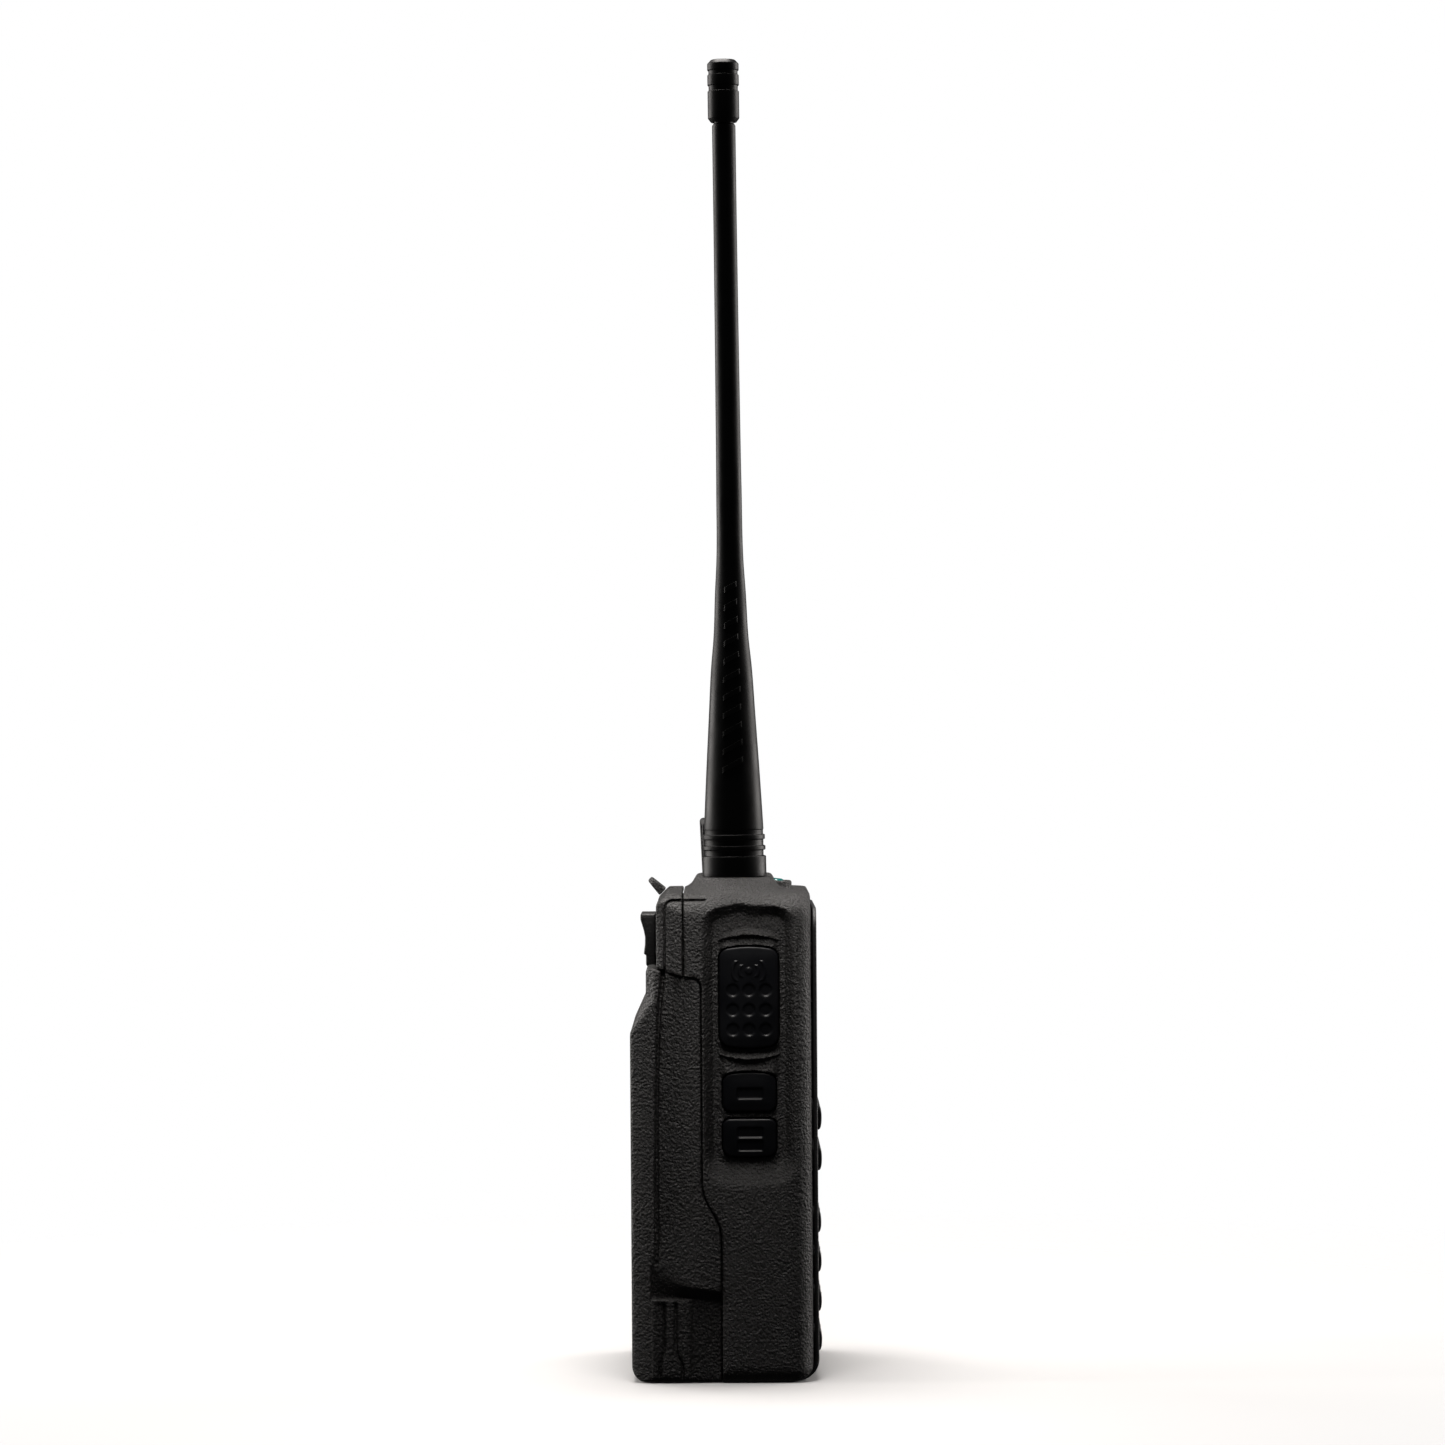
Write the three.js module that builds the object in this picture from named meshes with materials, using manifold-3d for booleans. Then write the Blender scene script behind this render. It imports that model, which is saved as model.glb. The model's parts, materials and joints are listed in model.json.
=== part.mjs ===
// A handheld two way radio in separate pieces. Millimetres, +Z up.
// The keypad faces -Y, the battery is at +Y, and the talk button is on the -X side.
// The origin is the centre of the foot that the radio stands on.
import * as THREE from "three";
import { mergeVertices } from "three/addons/utils/BufferGeometryUtils.js";
import Module from "manifold-3d";

const wasm = await Module();
wasm.setup();

// ---- Driving dimensions ----
const GAP = 0.3; // between pieces that touch
const HALF_WIDTH = 30;
const BODY_TOP = 109;
const FRONT_Y = -20.4; // face of the bezel
const HOUSING_FRONT_Y = -19.2;
const BACK_Y = 21.4; // back of the battery
const COVER_BACK_Y = 15.4;
const SIDE_CORNER = 4.4; // rounding between the sides and the front
const SHOULDER = 5.6; // rounding between the sides and the top
const WALL = 2.2;
const INNER_X = HALF_WIDTH - WALL;
const BASIN = {
  depth: 1.6,
  innerX: 26.8, // inside of the thicker wall behind the basin
  floor: { y0: -13.2, y1: 2.8, z0: 48.7, z1: 106.2, footRadius: 3.4, topRadius: 1.2 },
  rim: { y0: -15.4, y1: 5, z0: 43.8, z1: 107, footRadius: 5.6, topRadius: 1.4 },
};
const BROW = { y0: -12.9, y1: 2.5, upper: [97.9, 99, 1.9], lower: [73.4, 72.2, -1.9], radius: 9, sunk: 0.5 };
const ROOM = { front: -17.5, back: 12, floor: 2.4, step: 42, roof: 106.4 }; // the hollow of the housing
const SEAM = { upperY: 5.5, lowerY: 1.24, bendTop: 41.8, bendFoot: 34.4, radius: 9 };
const COVER_SEAM_Y = 9.4;
const BATTERY_TOP = 90;
const FOOT_CORNER = 4.8; // rounding of the front edge of the foot
const ARC_STEPS = 4; // straight pieces in a quarter turn

const BEZEL = { half: 26, low: 0, top: 105.6, thick: 0.9, radius: 5, wrapY: -15.4 };
const WINDOW = { half: 20, low: 63.4, top: 84.4 };
const KEYPAD = { half: 24.8, low: 4.6, top: 62.4 };
const FRONT_OPENINGS = { front: -22, back: -15 }; // reach of the openings through the front wall
const SPEAKER = { z: 95, half: 15, low: 88, top: 103, corner: 4, slots: [90.6, 93.6, 96.6, 99.6] };
const SPEAKER_SLOT = { long: 13, short: 10.5, half: 0.6, radius: 0.55 };
const MICROPHONE = { x: 22.8, z: 74, radius: 2, hole: 0.7, wallHole: 0.9 };
const NUMBER_KEYS = { columns: 4, pitchX: 12.2, width: 10.6, height: 5.2, tall: 0.75 };
const NUMBER_ROWS = [35.2, 26.4, 17.6, 8.8];
const FUNCTION_KEYS = { columns: 2, pitchX: 23.8, width: 21.4, height: 5.7, tall: 1 };
const FUNCTION_ROWS = [58.4, 49.3];
const KEY_FLANGE = { grow: 0.6, front: -18.9, back: -18.1 };

const TALK = { y0: -11.76, y1: 1.36, z0: 74.5, z1: 97.1, rise: 0.8, face: 29.9 };
const DIMPLES = { heights: [78.6, 83, 87.4], across: [-8.9, -5.2, -1.6], radius: 1.35, depth: 0.5 };
const SIDE_KEYS = [
  {
    name: "side_key_upper", y0: -11.1, y1: 0.76, z0: 60.4, z1: 69.1, topRise: 0.7, footRise: 0,
    bars: [[63.2, 65.6]],
  },
  {
    name: "side_key_lower", y0: -11.1, y1: 0.76, z0: 50.2, z1: 58.7, topRise: 0, footRise: 0.5,
    bars: [[51.6, 53.9], [54.6, 56.8]],
  },
];
const SIDE_KEY_FACE = 29.5;
const KEY_BAR = { y0: -8.2, y1: -2.4, depth: 0.4 };
const BUTTON_FLANGE = { outer: 26.5, inner: 25.7, grow: 0.9 };

const AERIAL = { x: -14, y: -2.2, base: 112.5, lean: 0.42, sides: 20, hole: 4.4 };
const KNOB = { x: 14, y: -1, base: 112.6, top: 125, radius: 6.7, sides: 24, hole: 3.9 };
const LAMP = { x: 0.5, y: -11.4, radius: 2.7, top: 111.4 };
const PLATFORM = { topRadius: 8.5, footRadius: 10.6, low: 106, foot: 108.6, top: 112.2 };
const LATCH = { half: 7.6, low: 91.6, top: 103.7, inner: 15.75, outer: 19.2 };
const LATCH_SLOT = { half: 4.3, low: 94, top: 102 };
const JACK = { y0: -7, y1: 5, z0: 76, z1: 104, depth: 2 };
const JACK_SOCKETS = [[84, 1.85], [95.4, 1.35]]; // height and radius
const EYELET = { x: 16, half: 4, y: 14.1, z: 107.7, hole: 2.6 };
const CHASSIS = { half: 26.4, thick: 1.6, lift: 0.5, foot: 2.8, top: 89.6 };
const SCREWS = [[-20, 0.74, 8], [20, 0.74, 8], [-20, 5, 82], [20, 5, 82]]; // x, y of the head, z
const SCREW = { headRadius: 2.05, shankRadius: 0.95, sunk: 0.85, length: 3.2 };
const BATTERY_ROOM = 27; // half width of the hollow of the battery
const CELLS = { width: 25.4, low: 6, top: 77, front: 8.2, back: 18.2, corner: 1.5 };
const PADS = { x: 9, y: 12, radius: 2.6, hole: 3.1 }; // the charging contacts under the battery

// ---- Materials ----
const paint = (color, roughness, metalness = 0) =>
  new THREE.MeshStandardMaterial({ color, roughness, metalness });
const BODY = paint(0x1a1a1b, 0.6);
const RUBBER = paint(0x131516, 0.75);
const METAL = paint(0x8f9296, 0.4, 1);
const BRASS = paint(0xb08d4a, 0.35, 1);
const BOARD = paint(0x1f4a33, 0.5);
const DARK = paint(0x2a2a2c, 0.5);
const CLEAR = paint(0x30363a, 0.1);
const LENS = paint(0x1d7f78, 0.2);
const CELL = paint(0x3a4650, 0.4, 0.3);

// ---- Making and joining solids ----
function toSolid(geometry) {
  const bare = geometry.clone();
  bare.deleteAttribute("normal");
  bare.deleteAttribute("uv");
  const merged = mergeVertices(bare, 1e-4);
  return new wasm.Manifold(
    new wasm.Mesh({
      numProp: 3,
      vertProperties: new Float32Array(merged.attributes.position.array),
      triVerts: new Uint32Array(merged.index.array),
    }),
  );
}

function toGeometry(solid) {
  const mesh = solid.getMesh();
  const geometry = new THREE.BufferGeometry();
  geometry.setAttribute("position", new THREE.BufferAttribute(mesh.vertProperties, 3));
  geometry.setIndex(new THREE.BufferAttribute(mesh.triVerts, 1));
  return geometry;
}

const join = (first, ...others) => others.reduce((whole, part) => whole.add(part), first);
const cut = (first, ...others) => others.reduce((whole, part) => whole.subtract(part), first);

// An outline through corners [u, v, radius], each corner turned into an arc of that radius.
function outline(corners, steps = ARC_STEPS) {
  const points = [];
  corners.forEach(([u, v, radius = 0], i) => {
    const corner = new THREE.Vector2(u, v);
    if (!radius) {
      points.push(corner);
      return;
    }
    const [bu, bv] = corners[(i + corners.length - 1) % corners.length];
    const [au, av] = corners[(i + 1) % corners.length];
    const before = new THREE.Vector2(bu, bv).sub(corner).normalize();
    const after = new THREE.Vector2(au, av).sub(corner).normalize();
    const halfAngle = Math.acos(before.dot(after)) / 2;
    const reach = radius / Math.tan(halfAngle);
    const toCentre = before.clone().add(after).normalize();
    const centre = corner.clone().addScaledVector(toCentre, radius / Math.sin(halfAngle));
    const start = corner.clone().addScaledVector(before, reach).sub(centre);
    const turn = start.clone().cross(corner.clone().addScaledVector(after, reach).sub(centre));
    const sweep = Math.sign(turn) * (Math.PI - 2 * halfAngle);
    const count = Math.max(1, Math.round((steps * Math.abs(sweep)) / (Math.PI / 2)));
    for (let k = 0; k <= count; k++) {
      const angle = (sweep * k) / count;
      points.push(start.clone().rotateAround(new THREE.Vector2(), angle).add(centre));
    }
  });
  return points;
}

const rectangle = (u0, u1, v0, v1, radius = 0, steps = ARC_STEPS) =>
  outline([[u0, v0, radius], [u1, v0, radius], [u1, v1, radius], [u0, v1, radius]], steps);

// A rounded rectangle whose top and foot bulge by a rise in the middle.
function arched(u0, u1, v0, v1, topRise, footRise, radius) {
  const middle = (u0 + u1) / 2;
  return outline([
    [u0, v0 + footRise, radius],
    [middle, v0, footRise ? 12 : 0],
    [u1, v0 + footRise, radius],
    [u1, v1 - topRise, radius],
    [middle, v1, topRise ? 12 : 0],
    [u0, v1 - topRise, radius],
  ]);
}

function extrude(points, depth, matrix) {
  const shape = new THREE.Shape(points);
  const geometry = new THREE.ExtrudeGeometry(shape, { depth, bevelEnabled: false });
  return toSolid(geometry.applyMatrix4(matrix));
}

const X = new THREE.Vector3(1, 0, 0);
const Y = new THREE.Vector3(0, 1, 0);
const Z = new THREE.Vector3(0, 0, 1);
const basis = (u, v, w, x, y, z) => new THREE.Matrix4().makeBasis(u, v, w).setPosition(x, y, z);

// Prisms along each axis: outlines in (Y, Z), (X, Z) and (X, Y).
const alongX = (points, x0, x1) => extrude(points, x1 - x0, basis(Y, Z, X, x0, 0, 0));
const alongY = (points, y0, y1) =>
  extrude(points, y1 - y0, basis(X, Z, Y.clone().negate(), 0, y1, 0));
const alongZ = (points, z0, z1) => extrude(points, z1 - z0, basis(X, Y, Z, 0, 0, z0));
const block = (x0, x1, y0, y1, z0, z1) => alongZ(rectangle(x0, x1, y0, y1), z0, z1);

// A solid between two outlines in (Y, Z) with the same number of points, at x0 and x1.
function loftAlongX(first, second, x0, x1) {
  const flat = THREE.ShapeUtils.triangulateShape(first, []);
  const count = first.length;
  const positions = [];
  const put = (points, x, i) => positions.push(x, points[i].x, points[i].y);
  for (const [a, b, c] of flat) {
    for (const i of [c, b, a]) put(first, x0, i);
    for (const i of [a, b, c]) put(second, x1, i);
  }
  for (let i = 0; i < count; i++) {
    const j = (i + 1) % count;
    put(first, x0, i);
    put(first, x0, j);
    put(second, x1, j);
    put(first, x0, i);
    put(second, x1, j);
    put(second, x1, i);
  }
  const geometry = new THREE.BufferGeometry();
  geometry.setAttribute("position", new THREE.Float32BufferAttribute(positions, 3));
  return toSolid(geometry);
}

// A turned solid from (radius, height) pairs, standing at (x, y).
function turned(profile, x, y, sides) {
  const points = profile.map(([radius, height]) => new THREE.Vector2(radius, height));
  const geometry = new THREE.LatheGeometry(points, sides);
  return toSolid(geometry.applyMatrix4(basis(X, Z, Y.clone().negate(), x, y, 0)));
}

const rod = (radius, x, y, z0, z1, sides = 16) =>
  turned([[0, z0], [radius, z0], [radius, z1], [0, z1]], x, y, sides);

// A rod along Y or X, as a prism of a regular polygon.
const circle = (u, v, radius, sides = 16) =>
  Array.from({ length: sides }, (_, i) => {
    const angle = (2 * Math.PI * i) / sides;
    return new THREE.Vector2(u + radius * Math.cos(angle), v + radius * Math.sin(angle));
  });

// ---- The shared outer form ----
const planOutline = outline([
  [-HALF_WIDTH, HOUSING_FRONT_Y, SIDE_CORNER],
  [HALF_WIDTH, HOUSING_FRONT_Y, SIDE_CORNER],
  [HALF_WIDTH, BACK_Y, 1.2],
  [-HALF_WIDTH, BACK_Y, 1.2],
]);
const frontOutline = outline([
  [-HALF_WIDTH, 0, 3],
  [HALF_WIDTH, 0, 3],
  [HALF_WIDTH, BODY_TOP, SHOULDER],
  [-HALF_WIDTH, BODY_TOP, SHOULDER],
]);
const withinForm = (solid) =>
  solid
    .intersect(alongZ(planOutline, -1, BODY_TOP + 1))
    .intersect(alongY(frontOutline, FRONT_Y - 1, BACK_Y + 1));

// Corners of the S-shaped line that parts the housing from the battery, moved by a shift in Y.
const seamCorners = (shift) => [
  [SEAM.lowerY + shift, SEAM.bendFoot, SEAM.radius],
  [SEAM.upperY + shift, SEAM.bendTop, SEAM.radius],
];

// ---- Front housing, with the basin for the side buttons ----
function basinCut() {
  const face = ({ y0, y1, z0, z1, footRadius, topRadius }) =>
    outline([[y0, z0, footRadius], [y1, z0, footRadius], [y1, z1, topRadius], [y0, z1, topRadius]]);
  return loftAlongX(face(BASIN.rim), face(BASIN.floor), -HALF_WIDTH - 0.01, BASIN.depth - HALF_WIDTH);
}

// A curved ridge over or under the talk button. Its bow is the height of its outer arc.
function brow([innerZ, outerZ, bow]) {
  const { y0, y1, radius, sunk } = BROW;
  const middle = (y0 + y1) / 2;
  const low = outline([[y0, innerZ], [middle, innerZ + bow, radius], [y1, innerZ]]);
  const high = outline([[y1, outerZ], [middle, outerZ + bow, radius], [y0, outerZ]]);
  const points = innerZ < outerZ ? [...low, ...high] : [...high.reverse(), ...low.reverse()];
  return alongX(points, sunk - HALF_WIDTH, BASIN.depth + sunk - HALF_WIDTH);
}

function buttonHole({ y0, y1, z0, z1, rise = 0, topRise = rise, footRise = rise }) {
  const hole = arched(y0 - GAP, y1 + GAP, z0 - GAP, z1 + GAP, topRise, footRise, 2);
  return alongX(hole, -HALF_WIDTH - 1, 1 - BASIN.innerX);
}

// The raised platform that carries the antenna and the knob: a cone at each end and a ridge between.
function platform() {
  const { topRadius, footRadius, low, foot, top } = PLATFORM;
  const profile = [[0, low], [footRadius, low], [footRadius, foot], [topRadius, top], [0, top]];
  const ridge = outline([
    [AERIAL.y - footRadius, low],
    [AERIAL.y + footRadius, low],
    [AERIAL.y + footRadius, foot],
    [AERIAL.y + topRadius, top],
    [AERIAL.y - topRadius, top],
    [AERIAL.y - footRadius, foot],
  ]);
  const reach = -AERIAL.x;
  return join(
    alongX(ridge, -reach, reach),
    turned(profile, -reach, AERIAL.y, AERIAL.sides),
    turned(profile, reach, AERIAL.y, AERIAL.sides),
  );
}

function housing() {
  const gap = GAP / 2;
  const side = outline([
    [HOUSING_FRONT_Y, 0, 4],
    [SEAM.lowerY - gap, 0],
    ...seamCorners(-gap),
    [SEAM.upperY - gap, BATTERY_TOP + GAP],
    [COVER_SEAM_Y - gap, BATTERY_TOP + GAP],
    [COVER_SEAM_Y - gap, BODY_TOP],
    [HOUSING_FRONT_Y, BODY_TOP, 1.8],
  ]);
  const shell = withinForm(alongX(side, -HALF_WIDTH, HALF_WIDTH));
  const upperRoom = block(-BASIN.innerX, INNER_X, ROOM.front, ROOM.back, ROOM.step, ROOM.roof);
  const lowerRoom = block(-INNER_X, INNER_X, ROOM.front, ROOM.back, ROOM.floor, ROOM.step + 0.1);
  const throughFront = (face) => alongY(face, FRONT_OPENINGS.front, FRONT_OPENINGS.back);
  const windowHole = throughFront(
    rectangle(-WINDOW.half - GAP, WINDOW.half + GAP, WINDOW.low - GAP, WINDOW.top + GAP));
  const keypadHole = throughFront(rectangle(-KEYPAD.half, KEYPAD.half, KEYPAD.low, KEYPAD.top));
  const speakerHole = throughFront(
    rectangle(-SPEAKER.half, SPEAKER.half, SPEAKER.low, SPEAKER.top, SPEAKER.corner));
  const microphoneHole = throughFront(circle(MICROPHONE.x, MICROPHONE.z, MICROPHONE.wallHole, 8));
  const jackRoom = block(HALF_WIDTH - JACK.depth, HALF_WIDTH + 1, JACK.y0, JACK.y1, JACK.z0, JACK.z1);
  const jackHole = block(25, HALF_WIDTH, JACK.y0 + 3.6, JACK.y1 - 3.6, JACK.z0 + 3, JACK.z1 - 3);
  const raised = join(shell, platform());
  return cut(
    join(cut(raised, basinCut()), brow(BROW.upper), brow(BROW.lower)),
    upperRoom,
    lowerRoom,
    buttonHole(TALK),
    ...SIDE_KEYS.map(buttonHole),
    windowHole,
    keypadHole,
    speakerHole,
    microphoneHole,
    jackRoom,
    jackHole,
    rod(AERIAL.hole, AERIAL.x, AERIAL.y, 100, 120, 12),
    rod(KNOB.hole, KNOB.x, KNOB.y, 100, 120, 12),
    rod(LAMP.radius - 0.5, LAMP.x, LAMP.y, 100, 120, 12),
    rod(LAMP.radius + GAP, LAMP.x, LAMP.y, BODY_TOP, 120),
    bezelForm(GAP, FRONT_Y - 1),
  );
}

// ---- Bezel: a thin front layer that wraps under the front edge of the foot ----
function bezelForm(grow, faceY) {
  const innerY = FRONT_Y + BEZEL.thick + grow;
  const innerZ = BEZEL.thick + grow;
  const layer = [
    [faceY, BODY_TOP + 2],
    [faceY, grow ? -2 : 0, grow ? 0 : FOOT_CORNER],
    [BEZEL.wrapY + grow, grow ? -2 : 0],
    [BEZEL.wrapY + grow, innerZ],
    [innerY, innerZ, FOOT_CORNER - innerZ],
    [innerY, BODY_TOP + 2],
  ];
  const face = rectangle(
    -BEZEL.half - grow, BEZEL.half + grow, BEZEL.low - 3, BEZEL.top + grow, BEZEL.radius);
  return alongX(outline(layer), -HALF_WIDTH, HALF_WIDTH).intersect(alongY(face, FRONT_Y - 3, -10));
}

const keyPlaces = ({ columns, pitchX }) =>
  Array.from({ length: columns }, (_, i) => (i - (columns - 1) / 2) * pitchX);

function keyHole(x, z, { width, height }) {
  const face = rectangle(
    x - width / 2 - GAP, x + width / 2 + GAP, z - height / 2 - GAP, z + height / 2 + GAP, 1.2, 2);
  return alongY(face, FRONT_Y - 1, HOUSING_FRONT_Y);
}

function bezel() {
  const holes = [];
  for (const [keys, rows] of [[NUMBER_KEYS, NUMBER_ROWS], [FUNCTION_KEYS, FUNCTION_ROWS]])
    for (const z of rows) for (const x of keyPlaces(keys)) holes.push(keyHole(x, z, keys));
  const through = (face) => alongY(face, FRONT_Y - 1, HOUSING_FRONT_Y + 1);
  const slots = SPEAKER.slots.map((z, i) => {
    const half = i % (SPEAKER.slots.length - 1) ? SPEAKER_SLOT.long : SPEAKER_SLOT.short;
    return through(rectangle(-half, half, z - SPEAKER_SLOT.half, z + SPEAKER_SLOT.half, SPEAKER_SLOT.radius));
  });
  return cut(
    bezelForm(0, FRONT_Y),
    through(rectangle(-WINDOW.half, WINDOW.half, WINDOW.low, WINDOW.top)),
    through(circle(MICROPHONE.x, MICROPHONE.z, MICROPHONE.hole, 8)),
    ...slots,
    ...holes,
  );
}

// ---- Keys: a cap through the bezel and a flange behind it ----
function keyCap(x, z, { width, height, tall }) {
  const face = rectangle(x - width / 2, x + width / 2, z - height / 2, z + height / 2, 1.3);
  const { grow, front, back } = KEY_FLANGE;
  const flange = block(
    x - width / 2 - grow, x + width / 2 + grow, front, back, z - height / 2 - grow, z + height / 2 + grow);
  return join(alongY(face, FRONT_Y - tall, back), flange);
}

// ---- Side buttons: a cap through the wall and a flange inside it ----
function sideButton({ y0, y1, z0, z1, rise = 0, topRise = rise, footRise = rise }, face) {
  const cap = arched(y0, y1, z0, z1, topRise, footRise, 1.9);
  const edge = arched(y0 + 0.5, y1 - 0.5, z0 + 0.5, z1 - 0.5, topRise, footRise, 1.5);
  const { outer, inner, grow } = BUTTON_FLANGE;
  return join(
    loftAlongX(edge, cap, -face, 0.5 - face),
    alongX(cap, 0.5 - face, -inner),
    block(-outer, -inner, y0 - grow, y1 + grow, z0 - grow / 2, z1 + grow / 2),
  );
}

function talkButton() {
  const dimples = [];
  for (const z of DIMPLES.heights)
    for (const y of DIMPLES.across)
      dimples.push(alongX(circle(y, z, DIMPLES.radius, 8), -TALK.face - 1, DIMPLES.depth - TALK.face));
  return cut(sideButton(TALK, TALK.face), ...dimples);
}

function sideKey(key) {
  const { y0, y1, depth } = KEY_BAR;
  const marks = key.bars.map(([z0, z1]) =>
    block(-SIDE_KEY_FACE - 1, depth - SIDE_KEY_FACE, y0, y1, z0, z1));
  return cut(sideButton(key, SIDE_KEY_FACE), ...marks);
}

// ---- Rear cover, above the battery ----
function rearCover() {
  const front = COVER_SEAM_Y + GAP / 2;
  const side = outline([
    [front, BATTERY_TOP + 0.6],
    [COVER_BACK_Y, BATTERY_TOP + 2.6],
    [COVER_BACK_Y, BODY_TOP - 2.6],
    [COVER_BACK_Y - 2.6, BODY_TOP],
    [front, BODY_TOP],
  ]);
  const slot = block(-LATCH_SLOT.half, LATCH_SLOT.half, 8, 18, LATCH_SLOT.low, LATCH_SLOT.top);
  const eyeletSlot = block(EYELET.x - EYELET.hole, EYELET.x + EYELET.hole, 8, 13.9, 104, 110);
  return cut(
    withinForm(alongX(side, -HALF_WIDTH, HALF_WIDTH)),
    block(-INNER_X, INNER_X, 9, COVER_BACK_Y - WALL, 93.4, ROOM.roof),
    slot,
    eyeletSlot,
  );
}

// A loop that stands on the 45 degree corner of the rear cover, built flat and then turned.
function strapEyelet() {
  const { half, hole: reach } = EYELET;
  const loop = outline([[-half, 0.3], [half, 0.3], [half, 4.6, 1.6], [-half, 4.6, 1.6]]);
  const hole = outline([[-reach, 1.3, 0.6], [reach, 1.3, 0.6], [reach, 3.4, 0.9], [-reach, 3.4, 0.9]]);
  const flat = cut(alongY(loop, -1.1, 1.1), alongY(hole, -3, 3));
  const geometry = toGeometry(flat);
  geometry.rotateX(-Math.PI / 4);
  geometry.translate(EYELET.x, EYELET.y, EYELET.z);
  return toSolid(geometry);
}

// ---- Battery latch: a thumb piece outside, a stem through the slot and a flange inside ----
function latch() {
  const side = outline([
    [LATCH.inner, LATCH.low],
    [18, LATCH.low, 0.8],
    [18, 94.3],
    [18.5, 94.6],
    [18.2, 98.4, 8],
    [LATCH.outer, 102.6, 0.8],
    [LATCH.outer, LATCH.top, 0.4],
    [LATCH.inner, LATCH.top],
  ]);
  return join(
    alongX(side, -LATCH.half, LATCH.half),
    block(-3.9, 3.9, 12.4, 16, 94.4, 99),
    block(-6.2, 6.2, 11.4, 12.7, 93.8, 100),
  );
}

// A bent leaf spring between the latch flange and the roof of the rear cover.
function latchSpring() {
  const leaf = outline([
    [-5.6, 100.4], [-4.9, 100.4], [0, 105.3, 1.2], [4.9, 100.4], [5.6, 100.4], [0, 106, 1.6],
  ]);
  return alongY(leaf, 11.2, 12.8);
}

// A strip that follows the seam line between two shifts in Y.
function seamStrip(first, second, foot, top) {
  const line = (shift) => [
    [SEAM.lowerY + shift, foot],
    ...seamCorners(shift),
    [SEAM.upperY + shift, top],
  ];
  return outline([...line(first), ...line(second).reverse()]);
}

// ---- Chassis: a bent plate that closes the housing and seats the battery ----
function chassis() {
  const { half, thick, lift, foot, top } = CHASSIS;
  const plate = seamStrip(-lift, -lift - thick, foot, top);
  const terminalHole = block(-9.3, 9.3, -3, 8, 7.7, 16.3);
  const holes = SCREWS.map(([x, y, z]) => alongY(circle(x, z, 1.3, 8), y - 5, y + 3));
  const sinks = SCREWS.map(([x, y, z]) => alongY(circle(x, z, 2.4, 10), y - SCREW.sunk, y + 3));
  return cut(alongX(plate, -half, half), terminalHole, ...holes, ...sinks);
}

// A flat-topped screw along Y, its head sunk in the back of the chassis.
function screw(x, y, z) {
  const { headRadius, shankRadius, sunk, length } = SCREW;
  const head = alongY(circle(x, z, headRadius, 10), y - sunk + GAP, y - 0.05);
  const shank = alongY(circle(x, z, shankRadius, 8), y - length, y - 0.2);
  return join(head, shank);
}

// ---- Battery ----
function batteryCase() {
  const gap = GAP / 2;
  const side = outline([
    [SEAM.lowerY + gap, 0],
    [BACK_Y, 0, 3.6],
    [BACK_Y, 77.9, 4],
    [17.8, 85.8, 5],
    [17.75, BATTERY_TOP + 2.3, 0.8],
    [16, BATTERY_TOP + 2.3],
    [COVER_SEAM_Y, BATTERY_TOP],
    [SEAM.upperY + gap, BATTERY_TOP, 2.2],
    ...seamCorners(gap).reverse(),
  ]);
  const room = outline([[0, 3], [19.2, 3, 2], [19.2, 77, 3], [15.9, 84.6, 3], [15.9, 87.6], [0, 87.6]]);
  const latchRoom = block(-9, 9, 14, 22, BATTERY_TOP + 1.2, 98);
  // Both sides are cut back a little: a long panel above a lip, and a charger guide below it.
  const onBothSides = (face, depth) => [
    alongX(face, -HALF_WIDTH - 1, depth - HALF_WIDTH),
    alongX(face, HALF_WIDTH - depth, HALF_WIDTH + 1),
  ];
  const panel = outline([
    [5, 20.6], [9.5, 21.7], [13.2, 23.5, 3], [15.7, 27.1, 3], [15.7, 56], [14.1, 95], [0, 95], [0, 20.6],
  ]);
  const guide = outline([[8.4, -1], [16.2, -1], [16.2, 18.7, 0.6], [8.4, 18.7]]);
  const padHoles = [-PADS.x, PADS.x].map((x) => rod(PADS.hole, x, PADS.y, -1, 4, 10));
  return cut(
    withinForm(alongX(side, -HALF_WIDTH, HALF_WIDTH)),
    alongX(room, -BATTERY_ROOM, BATTERY_ROOM),
    latchRoom,
    ...onBothSides(panel, 0.9),
    ...onBothSides(guide, 1.4),
    ...padHoles,
  );
}

const batteryLid = () => alongX(seamStrip(1.5, 0.2, 3.4, 87.2), -26.6, 26.6);

const cell = (x0) =>
  alongY(
    rectangle(x0, x0 + CELLS.width, CELLS.low, CELLS.top, CELLS.corner), CELLS.front, CELLS.back);

function batteryBoard() {
  const studs = [-PADS.x, PADS.x].map((x) => rod(PADS.radius, x, PADS.y, 0.2, 3.6, 10));
  return join(block(-22, 22, 6.4, 17.6, 3.4, 4.6), ...studs);
}

// ---- Inside the housing ----
function terminalBlock() {
  const pins = [-5, 0, 5].map((x) => block(x - 1.1, x + 1.1, 0.5, 1.1, 9.6, 14.4));
  return join(block(-9, 9, -3.6, 0.6, 8, 16), ...pins);
}

function mainBoard() {
  const notch = block(17, 27, -17, -13, 77, 86);
  return cut(block(-25, 25, -15.6, -14.4, 5, 84), notch);
}

function shieldCan() {
  return cut(block(-20, 20, -14.1, -9.5, 28, 74), block(-19.4, 19.4, -15, -10.1, 28.6, 73.4));
}

function sideKeyBoard() {
  const board = block(-23.9, -23.1, -11.8, 2, 50, 97);
  const switches = [84, 64.6, 54.4].map((z) => block(-24.4, -23.5, -7, -3.4, z - 1.8, z + 1.8));
  return join(board, ...switches);
}

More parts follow.
